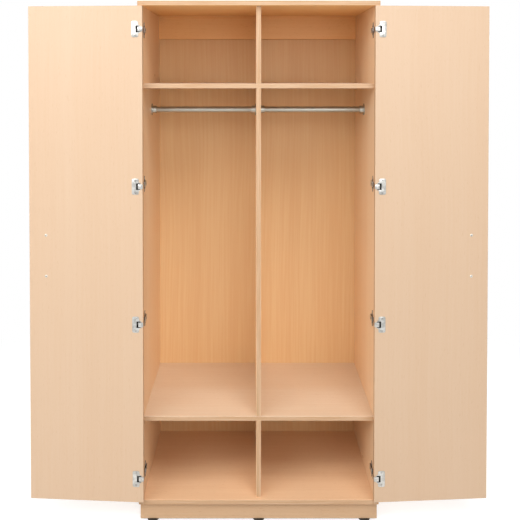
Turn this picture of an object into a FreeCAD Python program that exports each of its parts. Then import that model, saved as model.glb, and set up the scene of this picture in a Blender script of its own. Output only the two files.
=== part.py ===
import FreeCAD, Part
import os
import re

import Sketcher

# A free-standing wardrobe of coated board: two hanging bays with a bay above and a bay below each,
# two inset doors that stand open in front of the sides, a low plinth and six glides.
# X runs to the right, Y to the back and Z up. The origin is on the floor, midway in width and depth.

doc = FreeCAD.newDocument("wardrobe")
sheet = doc.addObject("Spreadsheet::Sheet", "Sizes")

# Driving sizes in millimetres, and one angle in degrees
DRIVING = (
    ("carcass_width", "940", "outer face to outer face"),
    ("carcass_depth", "600", "front edges to back edges"),
    ("side_height", "1950", "length of an upright side"),
    ("board_thickness", "18", "every carcass board"),
    ("edge_radius", "1.5", "rounding of the edge banding"),
    ("top_bay_height", "303", "clear height above the upper shelf"),
    ("bottom_bay_height", "303", "clear height below the lower shelf"),
    ("shelf_setback", "20", "shelf and divider fronts behind the carcass front"),
    ("back_thickness", "3", "hardboard back"),
    ("back_setback", "18", "back panel in front of the rear edges"),
    ("groove_depth", "8", "how far the back enters its grooves"),
    ("groove_fit", "0.1", "play on each face of the back in its groove"),
    ("groove_end_fit", "0.5", "play at the bottom of a groove"),
    ("rail_height", "105", "wall rail under the top panel"),
    ("plinth_height", "64", "plinth boards"),
    ("plinth_front_setback", "15", "plinth behind the carcass front"),
    ("plinth_back_setback", "22", "plinth in front of the rear edges"),
    ("plinth_side_setback", "5", "plinth inside the outer faces"),
    ("foot_height", "6", "glide under the plinth"),
    ("foot_radius", "22", "glide"),
    ("foot_bevel", "2", "bevel at the floor edge of a glide"),
    ("foot_end_distance", "49", "outer glide to the end of the plinth"),
    ("foot_bore_radius", "5.5", "counterbore for the screw head"),
    ("foot_web", "3", "plastic left above the counterbore"),
    ("dowel_radius", "4", "beech dowel"),
    ("dowel_length", "35", "beech dowel"),
    ("dowel_bevel", "1", "bevelled ends"),
    ("dowel_face_depth", "12", "part of a dowel in the face of a board"),
    ("dowel_fit", "0.1", "hole radius over dowel radius"),
    ("dowel_end_fit", "0.5", "hole deeper than the dowel at each end"),
    ("rod_radius", "12.5", "hanging rod"),
    ("rod_wall", "1.2", "tube wall of the rod"),
    ("rod_drop", "94.5", "rod axis below the upper shelf"),
    ("rod_depth", "300", "rod axis behind the carcass front"),
    ("rod_fit", "0.1", "socket bore radius over rod radius"),
    ("rod_end_play", "0.3", "rod end to socket floor"),
    ("socket_flange_radius", "25", "rod socket"),
    ("socket_flange_thickness", "3", "rod socket"),
    ("socket_wall", "3.5", "wall of the cup round the rod"),
    ("socket_cup_length", "16", "cup beyond the flange"),
    ("socket_bevel", "1", "bevels of a rod socket"),
    ("door_thickness", "18", "door board"),
    ("door_side_gap", "3", "door edge to the inner face of the side"),
    ("door_end_gap", "3", "above and below a closed door"),
    ("door_meeting_gap", "4", "between the closed doors"),
    ("open_angle", "184", "degrees from closed to the stop"),
    ("lowest_hinge_height", "92", "above the lower edge of the door"),
    ("lower_hinge_height", "695", "above the lower edge of the door"),
    ("upper_hinge_drop", "696", "below the upper edge of the door"),
    ("top_hinge_drop", "90", "below the upper edge of the door"),
    ("axis_over_door", "1.5", "hinge axis inward of the door edge"),
    ("barrel_radius", "3", "hinge barrel"),
    ("barrel_clearance", "0.3", "barrel to the corners of door and side"),
    ("pin_radius", "1.5", "hinge pin"),
    ("pin_fit", "0.05", "running clearance of the pin in the door knuckle"),
    ("pin_seat_fit", "0.02", "clearance of the pin in the fixed knuckles"),
    ("knuckle_height", "8", "middle knuckle, on the door link"),
    ("knuckle_gap", "0.3", "between neighbouring knuckles"),
    ("leaf_running_gap", "0.6", "between the two hinge leaves in the door gap"),
    ("link_width", "21", "hinge link and arm"),
    ("link_height", "2.5", "link over the inner face of the door"),
    ("link_reach", "18", "end of the link from the hinge edge"),
    ("link_leg", "4", "leg of the link inside the cup"),
    ("cup_radius", "17.5", "hinge cup"),
    ("cup_depth", "11", "hinge cup"),
    ("cup_wall", "1", "wall and floor of the cup"),
    ("cup_fit", "0.1", "bore in the door over the cup"),
    ("cup_distance", "22.5", "cup centre from the hinge edge"),
    ("cup_rim_overhang", "1.5", "rim round the cup on the door"),
    ("cup_mouth_height", "25", "mouth of the cup"),
    ("cup_mouth_reach", "25", "far end of the mouth from the hinge edge"),
    ("flange_height", "62", "cup flange"),
    ("flange_width", "27", "cup flange"),
    ("flange_thickness", "1.2", "cup flange"),
    ("flange_offset", "6", "flange centre beyond the cup centre"),
    ("flange_corner", "6", "corner radius of the flange"),
    ("flange_screw_margin", "7", "screw to the end of the flange"),
    ("plate_depth", "57", "mounting plate centre behind the carcass front"),
    ("plate_wing_height", "62", "wings of the mounting plate"),
    ("plate_wing_width", "14", "wings of the mounting plate"),
    ("plate_thickness", "2", "wings of the mounting plate"),
    ("plate_corner", "5", "corner radius of the wings"),
    ("plate_screw_spacing", "32", "system spacing of its screws"),
    ("boss_length", "40", "raised middle of the plate"),
    ("boss_width", "13", "raised middle of the plate"),
    ("boss_height", "4", "raised middle of the plate"),
    ("arm_sheet", "1.5", "sheet of the arm over the boss"),
    ("arm_fit", "0.1", "arm to boss and wings"),
    ("arm_overhang", "3", "arm past the boss at each end"),
    ("screw_radius", "1.75", "board screw shank"),
    ("screw_length", "14", "board screw shank"),
    ("screw_head_radius", "3.4", "board screw head"),
    ("screw_head_height", "1.6", "board screw head"),
    ("screw_fit", "0.05", "hole radius over screw radius"),
    ("screw_point", "2", "pointed end of a board screw"),
    ("recess_width", "0.9", "cross recess"),
    ("recess_depth", "0.9", "cross recess"),
    ("recess_length_share", "1.2", "cross recess over head radius"),
    ("head_bevel_share", "0.5", "bevelled part of a head over its height"),
    ("arm_screw_radius", "2", "screw of the arm in the plate"),
    ("arm_screw_length", "4.5", "screw of the arm in the plate"),
    ("arm_screw_head_radius", "3.5", "screw of the arm in the plate"),
    ("arm_screw_head_height", "1.8", "screw of the arm in the plate"),
    ("foot_screw_radius", "2", "screw through a glide"),
    ("foot_screw_length", "30", "screw through a glide"),
    ("foot_screw_head_radius", "4.2", "screw through a glide"),
    ("foot_screw_head_height", "2.4", "screw through a glide"),
    ("handle_screw_radius", "2", "machine screw of a handle"),
    ("handle_screw_grip", "8", "thread inside a handle post"),
    ("handle_screw_head_radius", "5.5", "machine screw of a handle"),
    ("handle_screw_head_height", "2.2", "machine screw of a handle"),
    ("handle_hole_fit", "0.3", "hole in the door over the handle screw"),
    ("handle_spacing", "160", "post to post"),
    ("handle_radius", "5", "handle bar"),
    ("handle_projection", "32", "outer side of the bar from the door"),
    ("handle_bend", "14", "bend at the middle of the bar"),
    ("handle_height", "957", "middle of the handle above the door edge"),
    ("handle_distance", "66.5", "handle to the free edge of the door"),
    ("cap_radius", "6", "cover cap in a side"),
    ("cap_thickness", "1.6", "cover cap in a side"),
    ("cap_bevel", "0.8", "cover cap in a side"),
    ("cap_stem_radius", "2.5", "stem of a cover cap"),
    ("cap_stem_length", "8", "stem of a cover cap"),
    ("cap_fit", "0.05", "hole radius over stem radius"),
    ("upper_cap_depth", "395", "left cap behind the carcass front"),
    ("upper_cap_rise", "33", "left cap above the upper shelf"),
    ("lower_cap_depth", "298", "right cap behind the carcass front"),
    ("lower_cap_rise", "20", "right cap above the bottom panel"),
    ("cut_overrun", "1", "how far a cutting tool passes a face"),
)

# Sizes that follow from the driving ones
WORKED_OUT = (
    ("inner_width", "carcass_width - 2 * board_thickness"),
    ("bay_width", "(inner_width - board_thickness) / 2"),
    ("underside", "foot_height + plinth_height"),
    ("floor_level", "underside + board_thickness"),
    ("top_level", "underside + side_height"),
    ("lower_shelf_level", "floor_level + bottom_bay_height"),
    ("hanging_level", "lower_shelf_level + board_thickness"),
    ("upper_shelf_level", "top_level - top_bay_height - board_thickness"),
    ("upper_bay_level", "upper_shelf_level + board_thickness"),
    ("hanging_height", "upper_shelf_level - hanging_level"),
    ("door_width", "(inner_width - 2 * door_side_gap - door_meeting_gap) / 2"),
    ("door_height", "top_level - floor_level - 2 * door_end_gap"),
    ("door_level", "floor_level + door_end_gap"),
    ("leaf_thickness", "(door_side_gap - leaf_running_gap) / 2"),
    ("axis_inset", "door_side_gap + axis_over_door"),
    ("leaf_inset", "-axis_over_door - leaf_thickness"),
    ("axis_proud", "barrel_radius + barrel_clearance"),
    ("leaf_start", "barrel_radius + barrel_clearance"),
    ("door_inside", "axis_proud + door_thickness"),
    ("link_top", "door_inside + link_height"),
    ("link_rounding", "leaf_thickness / 2"),
    ("past_flat", "open_angle - 180"),
    ("corner_x", "leaf_inset + link_rounding"),
    ("corner_y", "link_top - link_rounding"),
    ("corner_reach", "corner_y * cos(past_flat) - corner_x * sin(past_flat) + link_rounding"),
    ("front_reach", "axis_proud + corner_reach"),
    ("front_y", "(front_reach - carcass_depth) / 2"),
    ("back_y", "front_y + carcass_depth"),
    ("groove_y", "back_y - back_setback - back_thickness - 2 * groove_fit"),
    ("groove_width", "back_thickness + 2 * groove_fit"),
    ("shelf_y", "front_y + shelf_setback"),
    ("shelf_depth", "groove_y - shelf_y"),
    ("axis_x", "inner_width / 2 - axis_inset"),
    ("axis_y", "front_y - axis_proud"),
    ("plinth_width", "carcass_width - 2 * plinth_side_setback"),
    ("plinth_front_y", "front_y + plinth_front_setback"),
    ("plinth_back_y", "back_y - plinth_back_setback - board_thickness"),
    ("plinth_side_length", "plinth_back_y - plinth_front_y - board_thickness"),
    ("rod_y", "front_y + rod_depth"),
    ("rod_z", "upper_shelf_level - rod_drop"),
    ("rod_length", "bay_width - 2 * (socket_flange_thickness + rod_end_play)"),
    ("socket_bore", "rod_radius + rod_fit"),
    ("socket_cup_radius", "socket_bore + socket_wall"),
    ("socket_screw_circle", "(socket_cup_radius + socket_flange_radius) / 2"),
    ("upper_hinge_height", "door_height - upper_hinge_drop"),
    ("top_hinge_height", "door_height - top_hinge_drop"),
    ("knuckle_end", "knuckle_height / 2 + knuckle_gap"),
    ("cup_x", "cup_distance - axis_over_door"),
    ("flange_x", "cup_x + flange_offset"),
    ("flange_screw_z", "flange_height / 2 - flange_screw_margin"),
    ("plate_y", "axis_proud + plate_depth"),
    ("boss_top", "boss_height - axis_inset"),
    ("arm_inside", "boss_top + arm_fit"),
    ("arm_top", "arm_inside + arm_sheet"),
    ("arm_length", "boss_length + 2 * arm_overhang"),
    ("arm_start", "plate_y - arm_length / 2"),
    ("handle_x", "door_width - axis_over_door - handle_distance"),
    ("handle_rise", "handle_projection - handle_radius"),
    ("handle_straight", "handle_spacing - 2 * handle_bend"),
    ("handle_post", "handle_rise - handle_bend"),
    ("handle_screw_length", "door_thickness + handle_screw_grip"),
)

ALIASES = [row[0] for row in DRIVING] + [row[0] for row in WORKED_OUT]
FRONT_SHARES = (0.12, 0.5, 0.88)
UPPER_SHARES = (0.22, 0.78)
LOWER_SHARES = (0.34, 0.66)
RAIL_SHARES = (0.2, 0.8)
PLINTH_SHARES = (-0.34, -0.14, 0.14, 0.34)
CORNER_SHARES = (0.3, 0.7)
HINGE_PLACES = (
    ("lowest", "lowest_hinge_height"),
    ("lower", "lower_hinge_height"),
    ("upper", "upper_hinge_height"),
    ("top", "top_hinge_height"),
)
HANDS = (("left", -1), ("right", 1))

for row, entry in enumerate(DRIVING + WORKED_OUT, start=1):
    driving = row <= len(DRIVING)
    sheet.set(f"A{row}", entry[0])
    sheet.setAlias(f"B{row}", entry[0])
    sheet.set(f"B{row}", entry[1] if driving else "=" + entry[1])
    sheet.set(f"C{row}", entry[2] if driving else "worked out")
doc.recompute()

UP = FreeCAD.Vector(0, 0, 1)
ALONG = {
    "x": FreeCAD.Rotation(UP, FreeCAD.Vector(1, 0, 0)),
    "y": FreeCAD.Rotation(UP, FreeCAD.Vector(0, 1, 0)),
    "z": FreeCAD.Rotation(),
}
nodes = {}


def words(text):
    """Write a size expression with its references to the sheet."""
    return re.sub(r"[a-z_]+", lambda word: "Sizes." + word[0] if word[0] in ALIASES else word[0], text)


def number(text):
    """The present value of a size expression."""
    result = sheet.evalExpression(words(text))
    return float(getattr(result, "Value", result))


def bind(obj, **sizes):
    """Tie properties of an object to size expressions."""
    for name, text in sizes.items():
        obj.setExpression(name, words(text))


def place(obj, at, turn=None):
    """Put an object at a point given by three size expressions."""
    if turn is not None:
        obj.Placement = FreeCAD.Placement(FreeCAD.Vector(), turn)
    for letter, text in zip("xyz", at):
        if text != "0":
            obj.setExpression("Placement.Base." + letter, words(text))
    return obj


def keep(label, obj):
    """Name an object as one finished piece."""
    obj.Label = label
    nodes[label] = obj
    return obj


def block(name, size, low):
    """A box from its three sizes and its lowest corner."""
    obj = doc.addObject("Part::Box", name)
    bind(obj, Length=size[0], Width=size[1], Height=size[2])
    return place(obj, low)


def cylinder(name, radius, length, low, along="z"):
    """A cylinder from the middle of its lowest end."""
    obj = doc.addObject("Part::Cylinder", name)
    bind(obj, Radius=radius, Height=length)
    return place(obj, low, ALONG[along])


def fuse(name, parts):
    """One solid made of several."""
    obj = doc.addObject("Part::MultiFuse", name)
    obj.Shapes = parts
    obj.Refine = True
    return obj


def common(name, parts):
    """What several solids have in common."""
    obj = doc.addObject("Part::MultiCommon", name)
    obj.Shapes = parts
    return obj


def compound(name, parts):
    """Several objects held together as separate solids."""
    obj = doc.addObject("Part::Compound", name)
    obj.Links = parts
    return obj


def cut(name, base, tools):
    """A solid with tools taken away from it."""
    obj = doc.addObject("Part::Cut", name)
    obj.Base = base
    obj.Tool = tools[0] if len(tools) == 1 else compound(name + "_tools", tools)
    return obj


def hold(sketch, kind, line, index, text):
    """Fix one coordinate of a sketch point to a size expression."""
    if text == "0":
        sketch.addConstraint(Sketcher.Constraint("PointOnObject", index, 1, line))
        return
    if text.startswith("-"):
        ends = (index, 1, -1, 1)
        text = text[1:]
    else:
        ends = (-1, 1, index, 1)
    made = sketch.addConstraint(Sketcher.Constraint(kind, *ends, number(text)))
    sketch.setExpression(f"Constraints[{made}]", words(text))


def outline(body, role, corners):
    """A closed sketch on one of the body's origin planes."""
    sketch = body.newObject("Sketcher::SketchObject", body.Name + "_outline")
    plane = [feature for feature in body.Origin.OriginFeatures if feature.Role == role][0]
    sketch.AttachmentSupport = [(plane, "")]
    sketch.MapMode = "FlatFace"
    points = [FreeCAD.Vector(number(across), number(up), 0) for across, up in corners]
    for index, point in enumerate(points):
        following = points[(index + 1) % len(points)]
        sketch.addGeometry(Part.LineSegment(point, following), False)
    for index in range(len(points)):
        following = (index + 1) % len(points)
        sketch.addConstraint(Sketcher.Constraint("Coincident", index, 2, following, 1))
    for index, (across, up) in enumerate(corners):
        hold(sketch, "DistanceX", -2, index, across)
        hold(sketch, "DistanceY", -1, index, up)
    return sketch


def edges_at(shape, picks):
    """Names of box edges, each picked by the side it lies on along X, Y and Z."""
    low = shape.BoundBox
    names = []
    for index, edge in enumerate(shape.Edges, start=1):
        middle = edge.CenterOfMass
        sides = (
            round(2 * (middle.x - low.XMin) / low.XLength) - 1,
            round(2 * (middle.y - low.YMin) / low.YLength) - 1,
            round(2 * (middle.z - low.ZMin) / low.ZLength) - 1,
        )
        if sides in picks:
            names.append(f"Edge{index}")
    return names


def board(name, size, low, rounded, radius="edge_radius"):
    """A board cut from sheet: a padded rectangle with rounded edges."""
    body = doc.addObject("PartDesign::Body", name)
    width, depth, height = size
    corners = (("0", "0"), (width, "0"), (width, depth), ("0", depth))
    sketch = outline(body, "XY_Plane", corners)
    pad = body.newObject("PartDesign::Pad", name + "_pad")
    pad.Profile = sketch
    bind(pad, Length=height)
    doc.recompute()
    if rounded:
        fillet = body.newObject("PartDesign::Fillet", name + "_rounding")
        fillet.Base = (pad, edges_at(pad.Shape, rounded))
        bind(fillet, Radius=radius)
    return place(body, low)


def turned(name, profile):
    """A solid of revolution about Z, from a profile of radius and height."""
    body = doc.addObject("PartDesign::Body", name)
    sketch = outline(body, "XZ_Plane", profile)
    turn = body.newObject("PartDesign::Revolution", name + "_turn")
    turn.Profile = sketch
    turn.ReferenceAxis = (sketch, ["V_Axis"])
    turn.Angle = 360
    return body


def screw(name, radius, length, head_radius, head_height, point):
    """A screw with a cross recess: its head stands on Z = 0 and its shank points down."""
    rim = f"{head_height} * (1 - head_bevel_share)"
    profile = (
        ("0", head_height),
        (f"{head_radius} - {head_height} * head_bevel_share", head_height),
        (head_radius, rim),
        (head_radius, "0"),
        (radius, "0"),
        (radius, f"-({length} - {point})"),
        ("0", f"-({length})"),
    )
    body = turned(name + "_blank", profile)
    span = f"{head_radius} * recess_length_share"
    half_span = f"-{span} / 2"
    half_width = "-recess_width / 2"
    bottom = f"{head_height} - recess_depth"
    height = "recess_depth + cut_overrun"
    slots = [
        block(name + "_slot_x", (span, "recess_width", height), (half_span, half_width, bottom)),
        block(name + "_slot_y", ("recess_width", span, height), (half_width, half_span, bottom)),
    ]
    return cut(name, body, slots)


def group(label, pattern, places):
    """Separate copies of one fastener, each at a point and turned to an outward direction."""
    copies = []
    for index, (at, outward) in enumerate(places, start=1):
        copy = compound(f"{label}_{index}", [pattern])
        copies.append(place(copy, at, FreeCAD.Rotation(UP, FreeCAD.Vector(*outward))))
    return keep(label, compound(label, copies))


def instance(label, pattern):
    """One more piece of the same pattern."""
    return keep(label, compound(label, [pattern]))


def swing(obj, sign, height="0"):
    """Hang a piece that is modelled about the hinge axis, closed, on its open door."""
    obj.Placement = FreeCAD.Placement(FreeCAD.Vector(), FreeCAD.Rotation(UP * sign, 1))
    obj.setExpression("Placement.Rotation.Angle", words("open_angle"))
    return place(obj, (f"{sign} * axis_x", "axis_y", f"door_level + {height}"))


# Dowels. Each one crosses the joint of two boards, and both boards get its hole.

holes = {}
dowels = []
STEP = {"x": (1, 0, 0), "y": (0, 1, 0), "z": (0, 0, 1)}


def add_hole(board_name, tool):
    """Remember a cutting tool for a board."""
    holes.setdefault(board_name, []).append(tool)


def dowel(face_board, edge_board, at, along, sign):
    """A dowel from the face of one board into the edge of another, which lies on the sign side."""
    start = "-(dowel_length - dowel_face_depth)" if sign < 0 else "-dowel_face_depth"
    low = dict(zip("xyz", at))
    low[along] = f"{low[along]} + ({start})"
    hole_low = dict(low)
    hole_low[along] = f"{low[along]} - dowel_end_fit"
    tool = cylinder(
        f"dowel_hole_{len(dowels) + 1}",
        "dowel_radius + dowel_fit",
        "dowel_length + 2 * dowel_end_fit",
        tuple(hole_low.values()),
        along,
    )
    dowels.append((tuple(low.values()), STEP[along]))
    add_hole(face_board, tool)
    add_hole(edge_board, tool)


MIDDLE = "board_thickness / 2"
for side_name, sign in HANDS:
    edge_x = f"{sign} * (inner_width + board_thickness) / 2"
    face_x = f"{sign} * inner_width / 2"
    for share in FRONT_SHARES:
        spot_y = f"shelf_y + {share} * shelf_depth"
        dowel("top_panel", f"{side_name}_side", (edge_x, spot_y, "top_level"), "z", -1)
        for shelf, level in (
            ("bottom_panel", "underside"),
            ("lower_shelf", "lower_shelf_level"),
            ("upper_shelf", "upper_shelf_level"),
        ):
            spot = (face_x, spot_y, f"{level} + {MIDDLE}")
            dowel(f"{side_name}_side", shelf, spot, "x", -sign)

for share in UPPER_SHARES:
    spot_y = f"shelf_y + {share} * shelf_depth"
    dowel("top_panel", "top_divider", ("0", spot_y, "top_level"), "z", -1)
    dowel("upper_shelf", "hanging_divider", ("0", spot_y, "upper_shelf_level"), "z", -1)
    dowel("lower_shelf", "bottom_divider", ("0", spot_y, "lower_shelf_level"), "z", -1)
for share in LOWER_SHARES:
    spot_y = f"shelf_y + {share} * shelf_depth"
    dowel("upper_shelf", "top_divider", ("0", spot_y, "upper_bay_level"), "z", 1)
    dowel("lower_shelf", "hanging_divider", ("0", spot_y, "hanging_level"), "z", 1)
    dowel("bottom_panel", "bottom_divider", ("0", spot_y, "floor_level"), "z", 1)

for side_name, sign in HANDS:
    for share in RAIL_SHARES:
        spot_x = f"{sign} * (board_thickness / 2 + {share} * bay_width)"
        rail_spot = (spot_x, f"groove_y - {MIDDLE}", "top_level")
        dowel("top_panel", f"{side_name}_wall_rail", rail_spot, "z", -1)

for plinth_name, plinth_y in (("plinth_front", "plinth_front_y"), ("plinth_back", "plinth_back_y")):
    for share in PLINTH_SHARES:
        spot = (f"{share} * plinth_width", f"{plinth_y} + {MIDDLE}", "underside")
        dowel("bottom_panel", plinth_name, spot, "z", -1)

for side_name, sign in HANDS:
    spot_x = f"{sign} * (plinth_width - board_thickness) / 2"
    for share in CORNER_SHARES:
        spot_z = f"foot_height + {share} * plinth_height"
        front_spot = (spot_x, "plinth_front_y + board_thickness", spot_z)
        back_spot = (spot_x, "plinth_back_y", spot_z)
        dowel("plinth_front", f"plinth_{side_name}", front_spot, "y", 1)
        dowel("plinth_back", f"plinth_{side_name}", back_spot, "y", -1)

dowel_pattern = turned(
    "dowel_pattern",
    (
        ("0", "0"),
        ("dowel_radius - dowel_bevel", "0"),
        ("dowel_radius", "dowel_bevel"),
        ("dowel_radius", "dowel_length - dowel_bevel"),
        ("dowel_radius - dowel_bevel", "dowel_length"),
        ("0", "dowel_length"),
    ),
)
group("carcass_dowels", dowel_pattern, dowels)

# Board screws, which hold the rod sockets, the mounting plates and the hinge cups

board_screw = screw(
    "board_screw",
    "screw_radius",
    "screw_length",
    "screw_head_radius",
    "screw_head_height",
    "screw_point",
)


def screw_hole(board_name, name, radius, length, at, along):
    """A hole through the face at a point, both ways as long as the screw."""
    low = dict(zip("xyz", at))
    low[along] = f"{low[along]} - ({length})"
    tool = cylinder(name, radius, f"2 * ({length})", tuple(low.values()), along)
    add_hole(board_name, tool)


# Rod sockets: a turned cup on a round flange with three screws, at both ends of each rod.
# The two on the divider are turned by half a turn to each other, so that their screws miss.

socket_blank = turned(
    "socket_blank",
    (
        ("0", "0"),
        ("socket_flange_radius", "0"),
        ("socket_flange_radius", "socket_flange_thickness - socket_bevel"),
        ("socket_flange_radius - socket_bevel", "socket_flange_thickness"),
        ("socket_cup_radius", "socket_flange_thickness"),
        ("socket_cup_radius", "socket_flange_thickness + socket_cup_length - socket_bevel"),
        ("socket_cup_radius - socket_bevel", "socket_flange_thickness + socket_cup_length"),
        ("socket_bore", "socket_flange_thickness + socket_cup_length"),
        ("socket_bore", "socket_flange_thickness"),
        ("0", "socket_flange_thickness"),
    ),
)
SOCKET_ANGLES = (0, 120, 240)
socket_holes = []
for angle in SOCKET_ANGLES:
    spot = (f"socket_screw_circle * cos({angle})", f"socket_screw_circle * sin({angle})", "-cut_overrun")
    name = f"socket_hole_{angle}"
    socket_holes.append(
        cylinder(name, "screw_radius + screw_fit", "socket_flange_thickness + 2 * cut_overrun", spot)
    )
socket_pattern = cut("socket_pattern", socket_blank, socket_holes)

socket_screws = []
SOCKETS = (
    ("left_rod_outer_socket", "left_side", "-inner_width / 2", 1),
    ("left_rod_inner_socket", "hanging_divider", "-board_thickness / 2", -1),
    ("right_rod_inner_socket", "hanging_divider", "board_thickness / 2", 1),
    ("right_rod_outer_socket", "right_side", "inner_width / 2", -1),
)
for socket_name, carrier, face_x, sign in SOCKETS:
    turn = FreeCAD.Rotation(UP * sign, FreeCAD.Vector(), FreeCAD.Vector(sign, 0, 0), "ZXY")
    place(instance(socket_name, socket_pattern), (face_x, "rod_y", "rod_z"), turn)
    for angle in SOCKET_ANGLES:
        spot_y = f"rod_y + socket_screw_circle * sin({angle})"
        spot_z = f"rod_z + {sign} * socket_screw_circle * cos({angle})"
        hole_name = f"{socket_name}_hole_{angle}"
        length = "screw_length - socket_flange_thickness + dowel_end_fit"
        screw_hole(carrier, hole_name, "screw_radius + screw_fit", length, (face_x, spot_y, spot_z), "x")
        head_x = f"{face_x} + {sign} * socket_flange_thickness"
        socket_screws.append(((head_x, spot_y, spot_z), (sign, 0, 0)))
group("rod_socket_screws", board_screw, socket_screws)

# Hanging rods: chromed tubes

for side_name, sign in HANDS:
    low_x = f"{sign} * (board_thickness + bay_width) / 2 - rod_length / 2"
    tube = cylinder(f"{side_name}_rod_tube", "rod_radius", "rod_length", (low_x, "rod_y", "rod_z"), "x")
    bore = cylinder(
        f"{side_name}_rod_bore",
        "rod_radius - rod_wall",
        "rod_length + 2 * cut_overrun",
        (f"{low_x} - cut_overrun", "rod_y", "rod_z"),
        "x",
    )
    keep(f"{side_name}_hanging_rod", cut(f"{side_name}_hanging_rod", tube, [bore]))

# Cover caps, one in the left side above the upper shelf and one low in the right side

cap_pattern = turned(
    "cap_pattern",
    (
        ("0", "-cap_stem_length"),
        ("cap_stem_radius", "-cap_stem_length"),
        ("cap_stem_radius", "0"),
        ("cap_radius", "0"),
        ("cap_radius", "cap_thickness - cap_bevel"),
        ("cap_radius - cap_bevel", "cap_thickness"),
        ("0", "cap_thickness"),
    ),
)
CAPS = (
    ("left_side", -1, "upper_cap_depth", "upper_bay_level + upper_cap_rise"),
    ("right_side", 1, "lower_cap_depth", "floor_level + lower_cap_rise"),
)
cap_places = []
for carrier, sign, depth, height in CAPS:
    spot = (f"{sign} * inner_width / 2", f"front_y + {depth}", height)
    hole_length = "cap_stem_length + dowel_end_fit"
    screw_hole(carrier, f"{carrier}_cap_hole", "cap_stem_radius + cap_fit", hole_length, spot, "x")
    cap_places.append((spot, (-sign, 0, 0)))
group("side_cover_caps", cap_pattern, cap_places)

# Glides: a plastic disc under the plinth, held by one screw from below

foot_pattern = turned(
    "foot_pattern",
    (
        ("foot_bore_radius", "0"),
        ("foot_radius - foot_bevel", "0"),
        ("foot_radius", "foot_bevel"),
        ("foot_radius", "foot_height"),
        ("foot_screw_radius + screw_fit", "foot_height"),
        ("foot_screw_radius + screw_fit", "foot_height - foot_web"),
        ("foot_bore_radius", "foot_height - foot_web"),
    ),
)
foot_screw = screw(
    "foot_screw",
    "foot_screw_radius",
    "foot_screw_length",
    "foot_screw_head_radius",
    "foot_screw_head_height",
    "screw_point",
)
foot_screws = []
for row_name, row_y in (("front", "plinth_front_y"), ("back", "plinth_back_y")):
    for column, sign in (("left", -1), ("middle", 0), ("right", 1)):
        spot_x = f"{sign} * (plinth_width / 2 - foot_end_distance)"
        spot_y = f"{row_y} + {MIDDLE}"
        foot = instance(f"{row_name}_{column}_glide", foot_pattern)
        place(foot, (spot_x, spot_y, "0"))
        spot = (spot_x, spot_y, "foot_height")
        length = "foot_screw_length - foot_web + dowel_end_fit"
        hole_name = f"{row_name}_{column}_glide_hole"
        screw_hole(f"plinth_{row_name}", hole_name, "foot_screw_radius + screw_fit", length, spot, "z")
        foot_screws.append(((spot_x, spot_y, "foot_height - foot_web"), (0, 0, -1)))
group("glide_screws", foot_screw, foot_screws)

# Hinges. Each is modelled about its axis as for a closed left door: X runs along the door, away
# from its hinge edge, Y to the back, and Z = 0 is the middle of the hinge. A cup in the door carries
# a fixed link with the middle knuckle, and an arm on a mounting plate carries the outer knuckles.

FULL = "link_width"
LOW = "-link_width / 2"

flange = board(
    "cup_flange",
    ("flange_width", "flange_thickness", "flange_height"),
    ("flange_x - flange_width / 2", "door_inside", "-flange_height / 2"),
    ((-1, 0, -1), (-1, 0, 1), (1, 0, -1), (1, 0, 1)),
    "flange_corner",
)
rim = cylinder(
    "cup_rim", "cup_radius + cup_rim_overhang", "flange_thickness", ("cup_x", "door_inside", "0"), "y"
)
bowl = cylinder("cup_bowl", "cup_radius", "cup_depth", ("cup_x", "door_inside - cup_depth", "0"), "y")
cup_floor_y = "door_inside - cup_depth + cup_wall"
mouth_height = "cup_depth - cup_wall + flange_thickness + cut_overrun"
mouth_round = cylinder(
    "cup_mouth_round", "cup_radius - cup_wall", mouth_height, ("cup_x", cup_floor_y, "0"), "y"
)
mouth_straight = block(
    "cup_mouth_straight",
    ("cup_mouth_reach", mouth_height, "cup_mouth_height"),
    ("-axis_over_door", cup_floor_y, "-cup_mouth_height / 2"),
)
mouth = common("cup_mouth", [mouth_round, mouth_straight])
cup_shell = fuse("cup_shell", [flange, rim, bowl])
ear_holes = [mouth]
for end, sign in (("lower", -1), ("upper", 1)):
    spot = ("flange_x", "door_inside - cut_overrun", f"{sign} * flange_screw_z")
    length = "flange_thickness + 2 * cut_overrun"
    ear_holes.append(cylinder(f"cup_ear_hole_{end}", "screw_radius + screw_fit", length, spot, "y"))
cup_open = cut("cup_open", cup_shell, ear_holes)

link_bar = board(
    "link_bar",
    ("link_reach - axis_over_door - leaf_inset", "link_height", FULL),
    ("leaf_inset", "door_inside", LOW),
    ((-1, 1, 0), (1, 1, 0)),
    "link_rounding",
)
link_leg = block(
    "link_leg_block",
    ("link_leg", "cup_depth - cup_wall + link_height / 2", FULL),
    ("link_reach - axis_over_door - link_leg", cup_floor_y, LOW),
)
link_leaf = block(
    "link_leaf",
    ("leaf_thickness", "door_inside + link_height / 2 - leaf_start", FULL),
    ("leaf_inset", "leaf_start", LOW),
)
link_neck = block(
    "link_neck",
    ("leaf_thickness", "leaf_start", "knuckle_height"),
    ("leaf_inset", "0", "-knuckle_height / 2"),
)
link_knuckle = cylinder("link_knuckle", "barrel_radius", "knuckle_height", ("0", "0", "-knuckle_height / 2"))
link_bore = cylinder(
    "link_bore",
    "pin_radius + pin_fit",
    "knuckle_height + 2 * cut_overrun",
    ("0", "0", "-knuckle_height / 2 - cut_overrun"),
)
cup_body = fuse("cup_body", [cup_open, link_bar, link_leg, link_leaf, link_neck, link_knuckle])
cup_pattern = cut("cup_pattern", cup_body, [link_bore])

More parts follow.
